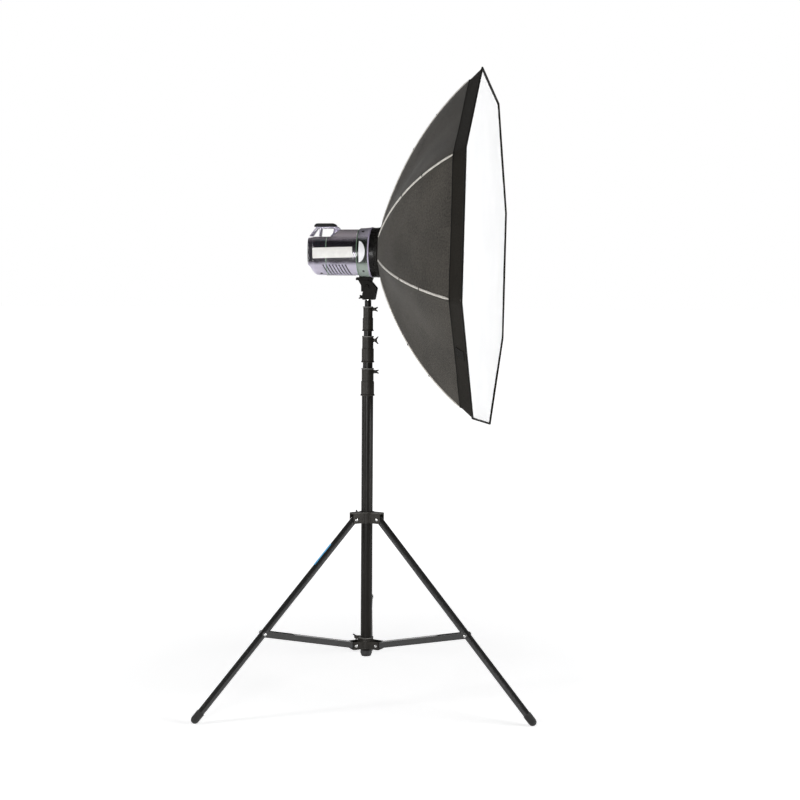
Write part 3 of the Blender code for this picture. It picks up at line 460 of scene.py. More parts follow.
FINISH = {
    "column_tube": TUBE, "column_plug": PLASTIC, "column_clamp": CAST, "lower_collar": CAST, "lower_collar_screw": CAST, "upper_collar": CAST,
    "upper_collar_screw": CAST, "riser_1": TUBE, "riser_1_clamp": CAST, "riser_2": TUBE, "riser_2_clamp": CAST, "riser_3": TUBE, "spigot": STEEL,
    "swivel_socket": BRACKET, "socket_screw": BRACKET, "tilt_bolt": BRACKET, "tilt_lever": BRACKET, "tilt_arm": BRACKET, "head_casing": SHELL,
    "front_collar": SHELL, "rear_panel": PLASTIC, "inner_chassis": PLASTIC, "handle_frame": SHELL, "handle_grip": GRIP, "cooling_fan": PLASTIC,
    "flash_tube": FLASH_GLASS, "modelling_lamp": LAMP_GLASS, "mains_inlet": PLASTIC, "sync_socket": STEEL, "power_switch": PLASTIC,
    "test_button": PLASTIC, "slave_button": PLASTIC, "bayonet_ring": PLASTIC, "bayonet_lock": PLASTIC, "speed_ring": CAST, "hinge_wire": SPRING,
    "fabric_cover": COVER, "front_diffuser": DIFFUSER, "inner_diffuser": INNER_CLOTH}
for i in (1, 2, 3):
    FINISH.update({f"leg_tube_{i}": LEG, f"foot_{i}": RUBBER, f"brace_{i}": LEG, f"clamp_screw_{i}": CAST})
for i in range(1, 9):
    FINISH[f"rod_{i}"] = SPRING
for name, finish in FINISH.items():
    ob = NODES[name]
    ob.data.materials.clear()
    ob.data.materials.append(finish)

# ---------------------------------------------------------------- mesh tools


def make(name, verts, faces, mats, body, slot, indices=None, cloth=None, smooth=True, matrix=None):
    """A piece from vertices and faces, with its materials, riding on a body."""
    mesh = bpy.data.meshes.new(name)
    mesh.from_pydata([tuple(v) for v in verts], [], faces)
    for m in (mats if isinstance(mats, (list, tuple)) else [mats]):
        mesh.materials.append(m)
    if indices is not None:
        mesh.polygons.foreach_set("material_index", indices)
    if cloth is not None:
        data = mesh.attributes.new("cloth", "FLOAT_VECTOR", "POINT")
        data.data.foreach_set("vector", np.asarray(cloth, np.float32).ravel())
    if matrix is not None:
        mesh.transform(matrix)
    mesh.polygons.foreach_set("use_smooth", [smooth] * len(mesh.polygons))
    mesh.validate()
    mesh.update()
    ob = bpy.data.objects.new(name, mesh)
    bpy.context.scene.collection.objects.link(ob)
    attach(ob, body)
    return ob


def grid(rows, columns, flip=False, wrap=False):
    """Quads over rows by columns of points."""
    out = []
    for i in range(rows - 1):
        for j in range(columns if wrap else columns - 1):
            k = (j + 1) % columns
            q = (i * columns + j, i * columns + k, (i + 1) * columns + k, (i + 1) * columns + j)
            out.append(q[::-1] if flip else q)
    return out


def rib(t):
    """The sprung line of a rod along the cover: (along, out)."""
    (a0, r0), (a1, r1) = (0.0406, 0.0741), (0.3184, 0.5068)
    chord = math.hypot(a1 - a0, r1 - r0)
    d0, d1 = [(chord * math.cos(math.radians(s)), chord * math.sin(math.radians(s))) for s in (71.67, 40.69)]
    h = (2 * t**3 - 3 * t**2 + 1, t**3 - 2 * t**2 + t, -2 * t**3 + 3 * t**2, t**3 - t**2)
    return (h[0] * a0 + h[1] * d0[0] + h[2] * a1 + h[3] * d1[0], h[0] * r0 + h[1] * d0[1] + h[2] * r1 + h[3] * d1[1])


# ---------------------------------------------------------------- the cover, one section for each rod
RIM_A, RIM_R = 0.3556, 0.5412
ROWS, HALF = 30, 12
profile = [(*rib(i / ROWS), 0) for i in range(ROWS + 1)]                     # gore
(sa, sr, _), lip_rows = profile[-1], 5
profile += [(sa + (RIM_A - sa) * i / lip_rows, sr + (RIM_R - sr) * i / lip_rows, 1) for i in range(1, lip_rows + 1)]
arc = [0.0]
for (a0, r0, _), (a1, r1, _) in zip(profile, profile[1:]):
    arc.append(arc[-1] + math.hypot(a1 - a0, r1 - r0))
SEAM_ARC, TOTAL_ARC = arc[ROWS], arc[-1]
COS, TAN = math.cos(math.radians(22.5)), math.tan(math.radians(22.5))
MID = (COS * COS, COS * math.sin(math.radians(22.5)))                        # mid-gore point for R = 1: inward, across


def outward(i):
    """The cover line's normal at row i, pointing out of the dome, as (along, out)."""
    (a0, r0, _), (a1, r1, _) = profile[max(i - 1, 0)], profile[min(i + 1, len(profile) - 1)]
    run = math.hypot(a1 - a0, r1 - r0)
    return (-(r1 - r0) / run, (a1 - a0) / run)


def sag(i, u, gore):
    """How far the cloth is drawn in between two rods: the stretch, and its soft puckers."""
    s = arc[i] / TOTAL_ARC
    hang = 0.0085 * math.sin(math.pi * min(s * 1.05, 1.0)) ** 1.2
    pull = math.sin(math.pi * abs(u) / 2) ** 2
    edge = math.sin(math.pi * min(abs(u), 1.0)) ** 2 if abs(u) < 1 else 0.0
    n = noise.noise(Vector((gore * 3.7 + 1.3, s * 5.0, abs(u) * 1.4 * (1 if u > 0 else -1))))
    n2 = noise.noise(Vector((gore * 5.1, s * 16.0 + abs(u) * 6.0, 4.0)))
    soft = math.sin(math.pi * min(max(s, 0.0), 1.0)) ** 0.5
    return hang * pull + edge * soft * (0.0030 * n + 0.0010 * n2)


def rod_frame(k):
    """World directions at rod k: out from the axis, and across it."""
    phi = math.radians(ROD_ANGLES[k])
    out = EY * math.sin(phi) + EZ * math.cos(phi)
    across = EY * math.cos(phi) - EZ * math.sin(phi)
    return out, across


def section_point(k, a, r, u, depth, normal):
    out, across = rod_frame(k)
    inward, side = r * (1 - (1 - MID[0]) * abs(u)), r * MID[1] * u
    # the panel's own tilt: its normal leans to the side by 22.5 degrees
    lean = math.radians(22.5) * (1 if u > 0 else -1 if u < 0 else 0)
    n_a, n_r = normal
    n = EX * n_a + (out * math.cos(lean) + across * math.sin(lean)) * n_r
    return at(a) + out * inward + across * side - n.normalized() * depth


covers = []
gore_of = lambda k, u: (k + (0 if u < 0 else 1)) % 8
for k in range(8):
    columns = [j / HALF for j in range(-HALF, HALF + 1)]
    verts, cloth = [], []
    for layer, thickness in ((0, 0.0), (1, 0.0014)):
        for i, (a, r, part) in enumerate(profile):
            for u in columns:
                g = gore_of(k, u)
                ridge = 0.0010 * (1 - min(abs(u) * 6, 1.0)) ** 2
                depth = sag(i, u, g) + thickness + ridge + (0.0006 if part else 0.0)
                verts.append(section_point(k, a, r, u, depth, outward(i)))
                cloth.append((r * MID[1] * u / COS + g * 0.37, arc[i], 0.0))
    n = len(columns)
    count = n * len(profile)
    outer = grid(len(profile), n)
    inner = [tuple(v + count for v in q[::-1]) for q in outer]
    rim = []
    for j in range(n - 1):                                             # close the rear edge and the rim
        rim.append((j, j + count, j + 1 + count, j + 1))
        b = (len(profile) - 1) * n + j
        rim.append((b, b + 1, b + 1 + count, b + count))
    sides = []
    for i in range(len(profile) - 1):
        for j, flip in ((0, False), (n - 1, True)):
            p, q = i * n + j, (i + 1) * n + j
            face = (p, q, q + count, p + count)
            sides.append(face[::-1] if flip else face)
    indices = [1 if i // (n - 1) >= ROWS else 0 for i in range(len(outer))] + [1 if i // (n - 1) >= ROWS + lip_rows - 1 else 2 for i in range(len(inner))] + [1] * len(rim) + [0] * len(sides)
    ob = make(f"cover_section_{k + 1}", verts, outer + inner + rim + sides, [COVER, LIP, LINING], f"rod_body_{k + 1}", "cover_fabric", indices, cloth)
    ob.data.set_sharp_from_angle(angle=math.radians(38))
    covers.append(ob)
bpy.context.view_layer.update()

# ---------------------------------------------------------------- sewn strips: piping over each rod, seam binding, rim hem


def tube_along(points, normals, width, height, sides=8, round_ends=True, full=False):
    """A half-round strip along points: width across, height above the cloth. Returns vertices, faces and cloth coordinates."""
    verts, cloth = [], []
    run = 0.0
    for i, (p, n) in enumerate(zip(points, normals)):
        if i:
            run += (p - points[i - 1]).length
        ahead = (points[min(i + 1, len(points) - 1)] - points[max(i - 1, 0)]).normalized()
        side = ahead.cross(n).normalized()
        swell = 1.0
        if round_ends and i in (0, len(points) - 1):
            swell = 0.55
        for j in range(sides + 1):
            t = math.radians(-52 + 284 * j / sides) if full else math.pi * j / sides
            verts.append(p + side * (width / 2 * math.cos(t) * swell) + n * (height * math.sin(t) * swell - 0.0004))
            cloth.append((width * 0.5 * t, run, 0.0))
    columns = sides + 1
    faces = grid(len(points), columns)
    for i in range(len(points) - 1):                                   # the underside
        faces.append((i * columns, (i + 1) * columns, (i + 1) * columns + sides, i * columns + sides))
    last = (len(points) - 1) * columns
    faces += [tuple(range(columns)), tuple(range(last + columns - 1, last - 1, -1))]
    return verts, faces, cloth


def join_pieces(parts):
    verts, faces, cloth = [], [], []
    for v, f, c in parts:
        base = len(verts)
        verts += v
        faces += [tuple(i + base for i in q) for q in f]
        cloth += c
    return verts, faces, cloth


strips = {k: [] for k in range(8)}
TACKS = (0.50, 0.735)
for k in range(8):
    out, across = rod_frame(k)
    body = f"rod_body_{k + 1}"
    line, normals = [], []
    for i in range(1, ROWS + 1):
        a, r, _ = profile[i]
        na, nr = outward(i)
        normal = (EX * na + out * nr).normalized()
        line.append(at(a) + out * r - normal * 0.0006)
        normals.append(normal)
    piece = make(f"rod_piping_{k + 1}", *tube_along(line, normals, 0.0068, 0.0030)[:2], PIPING, body, "cover_fabric",
                 cloth=tube_along(line, normals, 0.0068, 0.0030)[2])
    strips[k].append(piece)
    parts = []
    for share in TACKS:                                                # bar tacks hold the rod's pocket
        i = min(range(1, ROWS + 1), key=lambda q: abs(arc[q] / SEAM_ARC - share))
        p, n = line[i - 1] + normals[i - 1] * 0.0012, normals[i - 1]
        ahead = (line[i] - line[i - 1]).normalized() if i < ROWS else (line[i - 1] - line[i - 2]).normalized()
        side = ahead.cross(n).normalized()
        pts = [p + side * s * 0.0052 + n * (0.0019 - 0.0011 * (abs(s) ** 2)) for s in (-1, -0.6, -0.2, 0.2, 0.6, 1)]
        parts.append(tube_along(pts, [n] * 6, 0.0034, 0.0012, 5))
    # seam binding and rim hem, both along the section's own edge
    for row, width, height, lift in ((ROWS, 0.0040, 0.0012, 0.0), (len(profile) - 1, 0.0066, 0.0030, 0.0012)):
        a, r, _ = profile[row]
        pts, ns = [], []
        for j in range(-HALF, HALF + 1):
            u = j / HALF
            na, nr = outward(row)
            pts.append(section_point(k, a, r, u, sag(row, u, gore_of(k, u)) + lift, (na, nr)))
            lean = math.radians(22.5) * (1 if u > 0 else -1 if u < 0 else 0)
            ns.append((EX * na + (out * math.cos(lean) + across * math.sin(lean)) * nr).normalized())
        parts.append(tube_along(pts, ns, width, height, 6 if row == ROWS else 12, False, row != ROWS))
    v, f, c = join_pieces(parts)
    strips[k].append(make(f"seam_binding_{k + 1}", v, f, HEM, body, "cover_fabric", cloth=c))
    for strip in strips[k]:
        strip.data.set_sharp_from_angle(angle=math.radians(50))

# a small sewn tab at the middle of one lip, with its stitching ridge
tab_verts, tab_cloth = [], []
rows, cols = 9, 7
for lift in (-0.0016, 0.0004):
    for i in range(rows):
        v = 0.16 + 0.66 * i / (rows - 1)
        a, r = sa + (RIM_A - sa) * v, sr + (RIM_R - sr) * v
        for j in range(cols):
            u = -0.985 + 0.150 * j / (cols - 1)
            border = 0.0005 if i in (1, rows - 2) or j in (1, cols - 2) else 0.0
            depth = sag(ROWS + 2, u, gore_of(6, u)) + lift + (border if lift < 0 else 0)
            tab_verts.append(section_point(6, a, r, u, depth, outward(ROWS + 2)))
            tab_cloth.append((0.2 * u, 0.05 * v, 0.0))
count = rows * cols
edge = list(range(cols)) + [i * cols + cols - 1 for i in range(1, rows)] + [(rows - 1) * cols + j for j in range(cols - 2, -1, -1)] + [i * cols for i in range(rows - 2, 0, -1)]
tab_faces = grid(rows, cols) + [tuple(v + count for v in q[::-1]) for q in grid(rows, cols)] + [(q, p, p + count, q + count) for p, q in zip(edge, edge[1:] + edge[:1])]
sewn_tab = make("sewn_tab", tab_verts, tab_faces, HEM, "rod_body_7", "cover_fabric", cloth=tab_cloth)
sewn_tab.data.set_sharp_from_angle(angle=math.radians(50))

# the rear hem is elastic and stays round the speed ring
v, f, c = [], [], []
steps, sides = 96, 10
for i in range(steps):
    t = math.tau * i / steps
    phi = t + math.radians(ROLL)
    radial = EY * math.sin(phi) + EZ * math.cos(phi)
    fold = math.cos(t * 8)
    pucker = 0.0004 * math.sin(t * 48) + 0.0003 * math.sin(t * 79)
    r0 = 0.0741 * (1 - 0.035 * (1 - fold) / 2) + 0.0004
    for j in range(sides):
        s = math.tau * j / sides
        v.append(at(0.0404 + 0.0022 * math.cos(s)) + radial * (r0 + 0.0012 + (0.0020 + pucker) * math.sin(s)))
        c.append((s * 0.002, t * 0.075, 0.0))
f = grid(steps, sides, wrap=True) + [((steps - 1) * sides + j, (steps - 1) * sides + (j + 1) % sides, (j + 1) % sides, j) for j in range(sides)]
rear_hem = make("rear_elastic_hem", v, [q[::-1] for q in f], HEM, "octabox", "cover_fabric", cloth=c)

# ---------------------------------------------------------------- the two diffusers
FRONT_A = RIM_A - 0.0004
SPLIT = 0.285


def dish(r, phi):
    """The front diffuser's slight fullness and its puckers at the rim."""
    k = r / RIM_R
    w = 0.0016 * noise.noise(Vector((math.cos(phi) * r * 5, math.sin(phi) * r * 5, 9.0)))
    rim = 0.0010 * math.sin(phi * 40 + 1.0) * max(k - 0.86, 0.0) / 0.14
    return -0.0012 - 0.0022 * (1 - k * k) + (w + rim) * (1 - k ** 6)


def wall_radius(phi, R):
    """The octagon's edge in the direction phi, for corners at R."""
    d = (math.degrees(phi) - ROLL) % 45.0
    return R * COS / math.cos(math.radians(22.5 - d))


def diffuser_piece(name, body, phi0, phi1, share0, share1, corner, base_a, shape, mat, rings, slices, hem=0.0):
    verts, cloth = [], []
    for layer in (0.0, -0.0008):
        for i in range(rings + 1):
            share = share0 + (share1 - share0) * i / rings
            for j in range(slices + 1):
                phi = math.radians(phi0 + (phi1 - phi0) * j / slices)
                r = wall_radius(phi, corner) * share
                y, z = r * math.sin(phi), r * math.cos(phi)
                verts.append(at(base_a + shape(r, phi) + layer, y, z))
                cloth.append((y, z, 0.0))
    n, count = slices + 1, (slices + 1) * (rings + 1)
    top = grid(rings + 1, n, flip=True)
    faces = top + [tuple(v + count for v in q[::-1]) for q in top]
    edge = [j for j in range(n)] + [i * n + n - 1 for i in range(1, rings + 1)] + [rings * n + j for j in range(n - 2, -1, -1)] + [i * n for i in range(rings - 1, 0, -1)]
    faces += [(p, q, q + count, p + count) for p, q in zip(edge, edge[1:] + edge[:1])]
    ob = make(name, verts, faces, mat, body, "diffuser_fabric", cloth=cloth)
    ob.data.set_sharp_from_angle(angle=math.radians(40))
    return ob


front_pieces, inner_pieces, front_centre = [], [], []
front_corner = RIM_R - 0.0040
for k in range(8):
    mid = ROD_ANGLES[k]
    front_pieces.append(diffuser_piece(f"front_diffuser_{k + 1}", f"rod_body_{k + 1}", mid - 22.5, mid + 22.5, SPLIT / front_corner, 1.0,
                                       front_corner, FRONT_A, dish, DIFFUSER, 10, 16))
    inner_pieces.append(diffuser_piece(f"inner_diffuser_{k + 1}", f"rod_body_{k + 1}", mid - 22.5, mid + 22.5, 0.02, 1.0, 0.340,
                                       0.1908, lambda r, phi: -0.004 * (1 - (r / 0.34) ** 2), INNER_CLOTH, 8, 12))
for k in range(16):
    mid = ROLL + 11.25 + 22.5 * k
    front_centre.append(diffuser_piece(f"front_centre_{k + 1}", "octabox", mid - 11.25, mid + 11.25, 0.0015, SPLIT / front_corner,
                                       front_corner, FRONT_A, dish, DIFFUSER, 8, 6))

# ---------------------------------------------------------------- each section's pieces, and the centre pieces, get meshes of their own
for k in range(8):
    out, across = rod_frame(k)
    for piece, keep in ((covers[k], 0.34), (strips[k][1], 0.34), (front_pieces[k], 0.26), (inner_pieces[k], 0.10), *([(sewn_tab, 0.34)] if k == 6 else [])):
        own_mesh(piece)
for k, piece in enumerate(front_centre):
    phi = math.radians(ROLL + 11.25 + 22.5 * k)
    radial = EY * math.sin(phi) + EZ * math.cos(phi)
    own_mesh(piece)

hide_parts("fabric_cover")
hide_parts("front_diffuser")
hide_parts("inner_diffuser")


def area_of(ob, layers=2):
    return sum(p.area for p in ob.data.polygons) / layers


for name, size in (("cover", area_of(covers[0])), ("front", area_of(front_pieces[0])), ("centre", area_of(front_centre[0])), ("inner", area_of(inner_pieces[0]))):
    print("cloth area", name, round(size, 4))

# ---------------------------------------------------------------- solids for the head and the stand


def smoothstep(x):
    x = min(max(x, 0.0), 1.0)
    return x * x * (3 - 2 * x)


def extruded(points, depth, plane="XZ", bevel=0.0, segments=2, centre=0.0, angle=30.0):
    """A flat outline given a depth, its edges rounded. Returns vertices and faces."""
    bm = bmesh.new()
    loops = []
    for side in (-depth / 2 + centre, depth / 2 + centre):
        loops.append([bm.verts.new({"XZ": (u, side, v), "XY": (u, v, side), "YZ": (side, u, v)}[plane]) for u, v in points])
    bm.faces.new(loops[0])
    bm.faces.new(loops[1])
    for i in range(len(points)):
        j = (i + 1) % len(points)
        bm.faces.new((loops[0][i], loops[0][j], loops[1][j], loops[1][i]))
    bmesh.ops.recalc_face_normals(bm, faces=bm.faces[:])
    if bevel:
        edges = [e for e in bm.edges if e.calc_face_angle(0) > math.radians(angle)]
        bmesh.ops.bevel(bm, geom=edges, offset=bevel, segments=segments, profile=0.5, affect="EDGES", clamp_overlap=True)
    return taken(bm)


def taken(bm):
    bm.verts.index_update()
    verts = [v.co.copy() for v in bm.verts]
    faces = [tuple(v.index for v in f.verts) for f in bm.faces]
    bm.free()
    return verts, faces


def turned(profile, steps=64, axis="X", closed=True, wave=None):
    """A profile of (along, out) turned about an axis; closed joins its last point to its first."""
    verts, faces = [], []
    count = len(profile)
    for i in range(steps):
        t = math.tau * i / steps
        for k, (a, r) in enumerate(profile):
            if wave:
                r = r + wave(t, k)
            u, v = r * math.cos(t), r * math.sin(t)
            verts.append({"X": (a, u, v), "Z": (u, v, a), "Y": (u, a, v)}[axis])
    for i in range(steps):
        j = (i + 1) % steps
        for k in range(count if closed else count - 1):
            n = (k + 1) % count
            faces.append((i * count + k, i * count + n, j * count + n, j * count + k))
    return welded(verts, faces)


def welded(verts, faces):
    bm = bmesh.new()
    made = [bm.verts.new(v) for v in verts]
    for f in faces:
        bm.faces.new([made[i] for i in f])
    bmesh.ops.remove_doubles(bm, verts=bm.verts[:], dist=1e-6)
    bmesh.ops.dissolve_degenerate(bm, edges=bm.edges[:], dist=1e-7)
    bmesh.ops.recalc_face_normals(bm, faces=bm.faces[:])
    return taken(bm)


def block(size, centre=(0, 0, 0), bevel=0.0008, segments=2):
    x, y, z = (s / 2 for s in size)
    v, f = extruded([(-x, -z), (x, -z), (x, z), (-x, z)], 2 * y, "XZ", bevel, segments)
    return [p + Vector(centre) for p in v], f


def rod(start, end, radius, steps=20, bevel=0.0004, top=None):
    """A round bar between two points with eased ends."""
    start, end = Vector(start), Vector(end)
    length = (end - start).length
    r1 = radius if top is None else top
    profile = [(0.0, 0.0), (0.0, radius - bevel), (bevel, radius), (length - bevel, r1), (length, r1 - bevel), (length, 0.0)]
    v, f = turned(profile, steps, "Z", False)
    m = Matrix.Translation(start) @ (end - start).to_track_quat("Z", "Y").to_matrix().to_4x4()
    return [m @ Vector(p) for p in v], f


def placed(part, matrix):
    return [matrix @ Vector(p) for p in part[0]], part[1]


def joined(parts):
    verts, faces = [], []
    for v, f in parts:
        base = len(verts)
        verts += list(v)
        faces += [tuple(i + base for i in q) for q in f]
    return verts, faces


def carved(part, cutters, operation="DIFFERENCE"):
    """A solid less the cutters (or joined with them), as vertices and faces."""
    holder = bpy.data.collections.new("cutting")
    bpy.context.scene.collection.children.link(holder)

    def temporary(piece):
        mesh = bpy.data.meshes.new("temporary")
        mesh.from_pydata([tuple(v) for v in piece[0]], [], piece[1])
        ob = bpy.data.objects.new("temporary", mesh)
        return ob

    base = temporary(part)
    bpy.context.scene.collection.objects.link(base)
    for cutter in cutters:
        holder.objects.link(temporary(cutter))
    mod = base.modifiers.new("cut", "BOOLEAN")
    mod.operation, mod.solver, mod.operand_type, mod.collection = operation, "EXACT", "COLLECTION", holder
    bpy.context.view_layer.update()
    mesh = bpy.data.meshes.new_from_object(base.evaluated_get(bpy.context.evaluated_depsgraph_get()))
    out = [v.co.copy() for v in mesh.vertices], [tuple(p.vertices) for p in mesh.polygons]
    for ob in [base, *holder.objects]:
        data = ob.data
        bpy.data.objects.remove(ob, do_unlink=True)
        bpy.data.meshes.remove(data)
    bpy.data.collections.remove(holder)
    bpy.data.meshes.remove(mesh)
    return out


def head_piece(name, part, mats, slot, body="head", sharp=40.0, indices=None):
    """A piece given in the head's own frame, which its material can read back from the cloth attribute."""
    ob = make(name, part[0], part[1], mats, body, slot, indices, [tuple(v) for v in part[0]], True, HEAD)
    ob.data.set_sharp_from_angle(angle=math.radians(sharp))
    return ob


# ---------------------------------------------------------------- flash head: its clear casing
CASE_REAR, CASE_FRONT, CASE_HALF_W, CASE_HALF_H, DECK_Z, WALL = -0.174, -0.0220, 0.070, 0.0725, 0.047, 0.0025
POWER = 2 / 2.35


def case_limits(a):
    near_end = 1 - smoothstep((a - CASE_REAR) / 0.024)
    roof = DECK_Z - 0.003 * near_end + (CASE_HALF_H - DECK_Z) * smoothstep((a + 0.104) / 0.028)
    return CASE_HALF_W - 0.012 * near_end, -CASE_HALF_H + 0.031 * near_end, roof


def case_point(a, t, inset=0.0):
    width, floor, roof = case_limits(a)
    c, s = math.cos(t), math.sin(t)
    y = (width - inset) * math.copysign(abs(c) ** POWER, c)
    z = (CASE_HALF_H - inset) * math.copysign(abs(s) ** POWER, s)
    high, low = roof - inset, floor + inset
    if z > high - 0.010:
        z = high - 0.010 * math.exp(-max(z - (high - 0.010), 0.0) / 0.010)
    if z < low + 0.012:
        z = low + 0.012 * math.exp(-max((low + 0.012) - z, 0.0) / 0.012)
    return y, z


def flank_y(a, z, inset=0.0):
    """How far out the casing's side is at a height."""
    width, _, _ = case_limits(a)
    s = min((abs(z) / (CASE_HALF_H - inset)) ** (1 / POWER), 1.0)
    return (width - inset) * (1 - s * s) ** (POWER / 2)


def case_ring(a, inset, count=104):
    return [(a, *case_point(a, math.tau * i / count, inset)) for i in range(count)]


def lofted(rings, wrap=False):
    columns = len(rings[0])
    verts = [Vector(p) for ring in rings for p in ring]
    faces = grid(len(rings), columns, wrap=True)
    if wrap:
        last = (len(rings) - 1) * columns
        faces += [(last + j, last + (j + 1) % columns, (j + 1) % columns, j) for j in range(columns)]
    else:
        faces += [tuple(range(columns)), tuple(range(len(verts) - 1, len(verts) - columns - 1, -1))]
    return welded(verts, faces)


stations = [CASE_REAR + 0.0012 + (CASE_FRONT - CASE_REAR - 0.0012) * i / 52 for i in range(53)]
shell_rings = [case_ring(CASE_REAR, 0.0012), case_ring(CASE_REAR + 0.0003, 0.0005), case_ring(CASE_REAR + 0.0007, 0.0001)]
shell_rings += [case_ring(a, 0.0) for a in stations]
shell_rings += [case_ring(a, WALL) for a in reversed(stations)] + [case_ring(CASE_REAR, WALL)]


def stadium(length, width, count=8):
    return [(width / 2 * math.cos(math.pi * i / count), length / 2 - width / 2 + width / 2 * math.sin(math.pi * i / count)) for i in range(count + 1)] + \
           [(-width / 2 * math.cos(math.pi * i / count), -length / 2 + width / 2 - width / 2 * math.sin(math.pi * i / count)) for i in range(count + 1)]


vents = []
for flank in (-1, 1):
    for i in range(8):
        slot_part = extruded(stadium(0.0380, 0.0036), 0.060)
        vents.append(placed(slot_part, Matrix.Translation((-0.118 + 0.0098 * i, flank * 0.048, -0.0545)) @ Matrix.Rotation(math.radians(-24), 4, "Y")))
casing = head_piece("casing_shell", carved(lofted(shell_rings, True), vents), CASING, "casing", sharp=42)
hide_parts("head_casing")

# a raised lip round each vent, and the parting ribs at the two joints of the moulding
lips = []
for flank in (-1, 1):
    for i in range(8):
        points = []
        for u, v in stadium(0.0380 + 0.0014, 0.0036 + 0.0014, 8):
            m = Matrix.Rotation(math.radians(-24), 4, "Y")
            p = m @ Vector((u, 0, v))
            a, z = p.x - 0.118 + 0.0098 * i, p.z - 0.0545
            z, turn_in = max(z, -0.0676), 0.012 - CASE_HALF_H              # below turn_in the shell's floor is flattened
            deep = z if z > turn_in else turn_in + 0.012 * math.log((z + CASE_HALF_H) / 0.012)
            points.append(Vector((a, flank * (flank_y(a, deep) + 0.0001), z)))
        n = len(points)
        verts = []
        for k, p in enumerate(points):
            ahead = (points[(k + 1) % n] - points[k - 1]).normalized()
            normal = Vector((0, p.y / CASE_HALF_W ** 2, p.z / CASE_HALF_H ** 2)).normalized()
            side = ahead.cross(normal).normalized()
            for q in range(6):
                s = math.tau * q / 6
                verts.append(p + side * 0.0006 * math.cos(s) + normal * 0.0006 * math.sin(s))
        faces = [(k * 6 + q, k * 6 + (q + 1) % 6, ((k + 1) % n) * 6 + (q + 1) % 6, ((k + 1) % n) * 6 + q) for k in range(n) for q in range(6)]
        lips.append(welded(verts, faces))
head_piece("vent_lips", joined(lips), VIOLET_EDGE, "casing")


def seam_band(a, width, proud):
    rings = [case_ring(a - width / 2, -0.0001), case_ring(a - width * 0.3, -proud), case_ring(a + width * 0.3, -proud), case_ring(a + width / 2, -0.0001),
             case_ring(a + width / 2, 0.0008), case_ring(a - width / 2, 0.0008)]
    return lofted(rings, True)


head_piece("rear_parting_rib", seam_band(-0.1150, 0.0015, 0.0003), SEAM_GREEN, "casing")
head_piece("front_parting_rib", seam_band(-0.0222, 0.0017, 0.0010), SEAM_GREEN, "casing")

# the front collar: a clear flared ring, its solid edge, and the plate that holds the lamps
flare = [(-0.0213, 0.0727), (-0.0150, 0.0729), (-0.0080, 0.0732), (-0.0010, 0.0737), (0.0050, 0.0743), (0.0095, 0.0749), (0.0112, 0.0751),
         (0.0118, 0.0746), (0.0118, 0.0728), (0.0050, 0.0722), (-0.0010, 0.0716), (-0.0080, 0.0710), (-0.0213, 0.0704)]
collar_piece = head_piece("front_collar_flare", turned(flare, 112), COLLAR_CLEAR, "casing")
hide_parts("front_collar")
bead = [(0.0112, 0.0712), (0.0108, 0.0748), (0.0116, 0.0757), (0.0132, 0.0761), (0.0150, 0.0757), (0.0158, 0.0746), (0.0158, 0.0712)]
head_piece("front_collar_edge", turned(bead, 112), VIOLET_EDGE, "casing")
lamp_plate = [(0.0042, 0.0), (0.0042, 0.0702), (0.0100, 0.0702), (0.0100, 0.0640), (0.0086, 0.0632), (0.0086, 0.0400), (0.0100, 0.0392), (0.0100, 0.0200),
              (0.0090, 0.0192), (0.0090, 0.0)]
head_piece("lamp_plate", turned(lamp_plate, 96, closed=False), OPAL, "casing")


def arc_plate(a0, a1, r0, r1, low, high, flank, steps=20):
    """A curved plate inside a round wall, between two heights given as angles above level."""
    verts = []
    for i in range(steps + 1):
        t = math.radians(low + (high - low) * i / steps)
        for a, r in ((a0, r0), (a1, r0), (a1, r1), (a0, r1)):
            verts.append(Vector((a, flank * r * math.cos(t), r * math.sin(t))))
    faces = grid(steps + 1, 4, wrap=True) + [(0, 1, 2, 3), tuple(range(steps * 4 + 3, steps * 4 - 1, -1))]
    return welded(verts, faces)


head_piece("collar_liners", joined([arc_plate(-0.0205, 0.0068, 0.0688, 0.0698, -25, 31, f) for f in (-1, 1)]), DARK_LINER, "plastic")


def sticker(name, outline_points, flank, radius, thickness, mat, slot="casing"):
    """A sticker bent to the wall: a fan of points of (along, up) laid on the wall, with a thin edge."""
    (a0, a1), (z0, z1) = [(min(p[i] for p in outline_points), max(p[i] for p in outline_points)) for i in (0, 1)]
    bm = bmesh.new()
    ring = [bm.verts.new((p[0], 0, p[1])) for p in outline_points]
    bm.faces.new(ring)
    for k in range(1, 16):
        z = z0 + (z1 - z0) * k / 16
        geom = bm.verts[:] + bm.edges[:] + bm.faces[:]
        bmesh.ops.bisect_plane(bm, geom=geom, plane_co=(0, 0, z), plane_no=(0, 0, 1))
    for k in range(1, 28):
        a = a0 + (a1 - a0) * k / 28
        geom = bm.verts[:] + bm.edges[:] + bm.faces[:]
        bmesh.ops.bisect_plane(bm, geom=geom, plane_co=(a, 0, 0), plane_no=(1, 0, 0))
    flat, faces = taken(bm)
    top = [Vector((p.x, flank * (radius(p.x, p.z) + 0.00035 + thickness), p.z)) for p in flat]
    low = [Vector((p.x, flank * (radius(p.x, p.z) + 0.00035), p.z)) for p in flat]
    count = len(flat)
    edges = {}
    for f in faces:
        for p, q in zip(f, f[1:] + f[:1]):
            edges[(p, q)] = edges.get((p, q), 0) + 1
    rim = [(p, q) for p, q in edges if (q, p) not in edges]
    all_faces = faces + [tuple(i + count for i in f[::-1]) for f in faces] + [(q, p, p + count, q + count) for p, q in rim]
    return head_piece(name, welded(top + low, all_faces), mat, slot, sharp=50)


